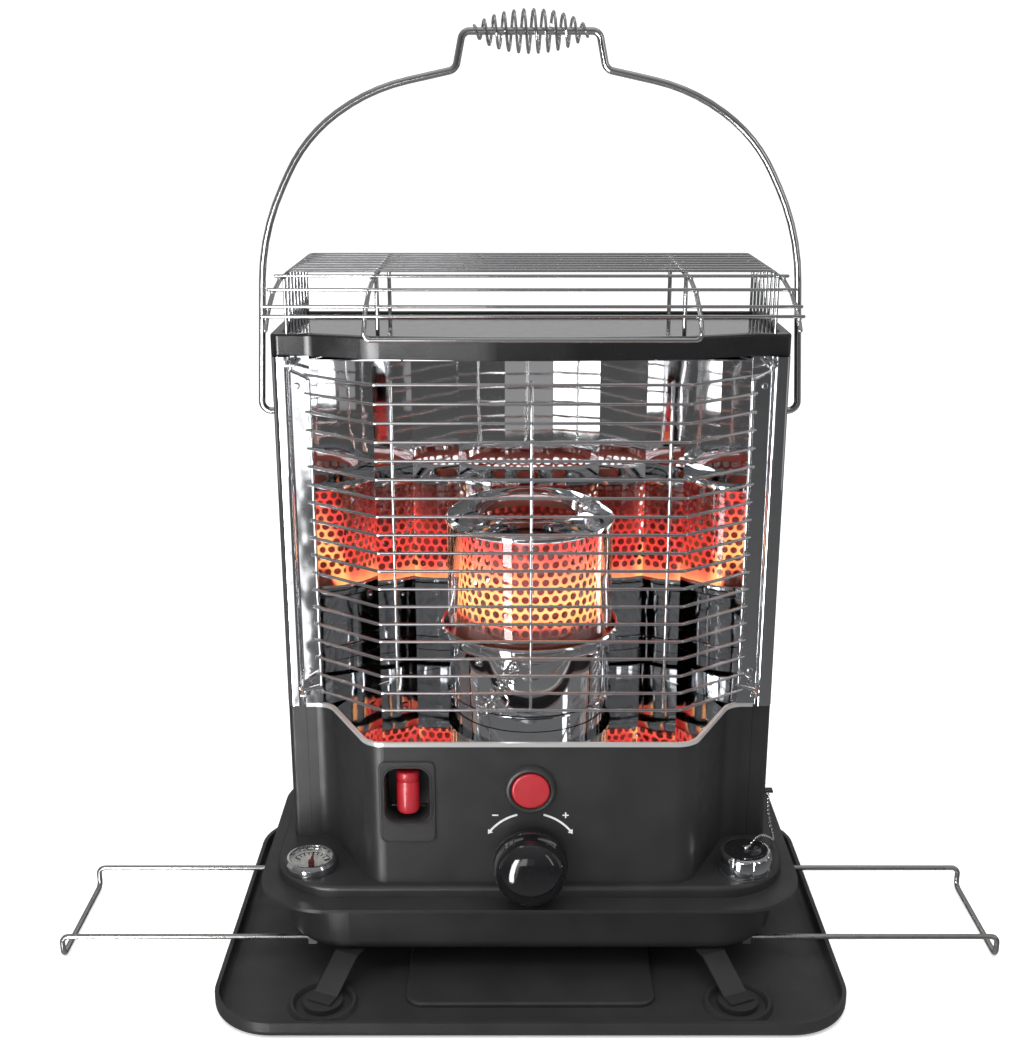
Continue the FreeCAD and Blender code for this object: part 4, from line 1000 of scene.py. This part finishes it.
# ---------------------------------------------------------------- stage, lights and camera
def floor():
    """White sweep: level under the heater, rising in a wide curve behind it. Reflections don't see it."""
    bm = bmesh.new()
    reach, front, start, rise, top, steps = 7.0, -6.0, 2.2, 3.0, 8.0, 16
    outline = [(front, 0.0), (start, 0.0)]
    outline += [(start + rise * math.sin(a), rise - rise * math.cos(a))
                for a in (math.pi / 2 * k / steps for k in range(1, steps + 1))]
    outline += [(start + rise, top)]
    rows = [[bm.verts.new((x, y, z - 0.5 * MM)) for x in (-reach, reach)] for y, z in outline]
    for (a, b), (c, d) in zip(rows, rows[1:]):
        bm.faces.new((a, b, d, c))
    mesh = bpy.data.meshes.new("floor")
    bm.to_mesh(mesh)
    bm.free()
    mesh.shade_smooth()
    obj = bpy.data.objects.new("floor", mesh)
    bpy.context.scene.collection.objects.link(obj)
    made = Finish("pale_floor", (0.9, 0.9, 0.9), 0.8)
    made.tint(made.noise(1.5, 2), 0.98, 1.0)
    made.set("Emission Color", (1, 1, 1, 1))
    made.set("Emission Strength", 0.36)
    mesh.materials.append(made.material)
    obj.visible_glossy = False


def card(name, centre, size, turn, strength):
    """A flat glowing card that only reflections see."""
    bpy.ops.mesh.primitive_plane_add(size=1, location=centre, rotation=[math.radians(a) for a in turn])
    obj = bpy.context.active_object
    obj.name = name
    obj.scale = (size[0], size[1], 1)
    made = Finish(name, (0, 0, 0), 1.0)
    made.set("Specular IOR Level", 0.0)
    made.set("Emission Color", (1, 1, 1, 1))
    made.set("Emission Strength", strength)
    obj.data.materials.append(made.material)
    obj.visible_camera = False
    obj.visible_diffuse = False
    obj.visible_shadow = False
    obj.visible_transmission = False


AIM = Vector((0, 0, 0.3))


def area_light(name, place, size, power, mirrored):
    """A rectangular light aimed at the burner; mirrored lets reflections see it."""
    data = bpy.data.lights.new(name, "AREA")
    data.shape = "RECTANGLE"
    data.size, data.size_y = size
    data.energy = power
    light = bpy.data.objects.new(name, data)
    light.location = place
    light.rotation_euler = (AIM - Vector(place)).to_track_quat("-Z", "Y").to_euler()
    light.visible_glossy = mirrored
    bpy.context.scene.collection.objects.link(light)


def world():
    """Dim room for the reflections, brighter above, and plain white behind the heater."""
    made = bpy.data.worlds.new("studio")
    bpy.context.scene.world = made
    made.use_nodes = True
    tree = made.node_tree
    tree.nodes.clear()
    out = tree.nodes.new("ShaderNodeOutputWorld")
    path = tree.nodes.new("ShaderNodeLightPath")
    mix = tree.nodes.new("ShaderNodeMixShader")
    soft = tree.nodes.new("ShaderNodeBackground")
    room = tree.nodes.new("ShaderNodeBackground")
    soft.inputs["Color"].default_value = (1, 1, 1, 1)
    soft.inputs["Strength"].default_value = 0.62
    where = tree.nodes.new("ShaderNodeTexCoord")
    split = tree.nodes.new("ShaderNodeSeparateXYZ")
    ramp = tree.nodes.new("ShaderNodeValToRGB")
    tree.links.new(where.outputs["Generated"], split.inputs["Vector"])
    shift = tree.nodes.new("ShaderNodeMapRange")
    shift.inputs["From Min"].default_value = -1.0
    tree.links.new(split.outputs["Z"], shift.inputs["Value"])
    tree.links.new(shift.outputs["Result"], ramp.inputs["Fac"])
    stops = [(0.0, 0.30), (0.30, 0.12), (0.47, 0.05), (0.56, 0.10), (0.70, 0.16), (1.0, 0.30)]
    fill_ramp(ramp, [(place, [value] * 3) for place, value in stops])
    tree.links.new(ramp.outputs["Color"], room.inputs["Color"])
    tree.links.new(path.outputs["Is Glossy Ray"], mix.inputs["Fac"])
    tree.links.new(soft.outputs["Background"], mix.inputs[1])
    tree.links.new(room.outputs["Background"], mix.inputs[2])
    seen = tree.nodes.new("ShaderNodeMixShader")
    plain = tree.nodes.new("ShaderNodeBackground")
    plain.inputs["Color"].default_value = (1, 1, 1, 1)
    tree.links.new(path.outputs["Is Camera Ray"], seen.inputs["Fac"])
    tree.links.new(mix.outputs["Shader"], seen.inputs[1])
    tree.links.new(plain.outputs["Background"], seen.inputs[2])
    tree.links.new(seen.outputs["Shader"], out.inputs["Surface"])


LENS_MM, SENSOR_MM = 48.1, 36.0
CAMERA_PLACE, CAMERA_TILT = (-0.012, -0.967, 0.6116), math.radians(73.0)


def camera():
    data = bpy.data.cameras.new("camera")
    data.lens = LENS_MM
    data.sensor_width = SENSOR_MM
    data.clip_start = 0.01
    obj = bpy.data.objects.new("camera", data)
    obj.location = CAMERA_PLACE
    obj.rotation_euler = (CAMERA_TILT, 0, 0)
    bpy.context.scene.collection.objects.link(obj)
    bpy.context.scene.camera = obj


floor()
world()
camera()
area_light("top_softbox", (0.0, -0.5, 2.2), (2.4, 1.6), 40, mirrored=False)
area_light("left_window", (-1.9, -1.0, 1.0), (0.5, 1.6), 20, mirrored=False)
area_light("right_strip", (1.8, -1.3, 1.0), (0.25, 1.4), 2.5, mirrored=True)
card("overhead_card", (0.0, 0.15, 1.9), (1.6, 0.5), (0, 0, 0), 0.7)
card("window_card", (-0.55, -0.92, 0.0), (0.22, 1.0), (90, 0, -30), 20.0)
card("door_card", (-0.20, -0.90, 0.30), (0.20, 0.34), (90, 0, -12), 2.4)
card("post_card", (-0.335, -0.92, 0.05), (0.05, 0.62), (90, 0, 0), 1.6)
card("wall_card", (0.01, -0.92, 0.30), (0.20, 0.34), (90, 0, 0), 0.30)
card("back_wall_card", (0.0, 2.4, 1.1), (3.0, 0.9), (90, 0, 0), 0.5)
card("right_wall_card", (2.2, 0.3, 0.6), (1.2, 1.6), (90, 0, 90), 0.35)
card("left_wall_card", (-2.2, 0.3, 0.6), (1.2, 1.6), (90, 0, 90), 0.3)
bpy.context.scene.view_settings.view_transform = "Standard"
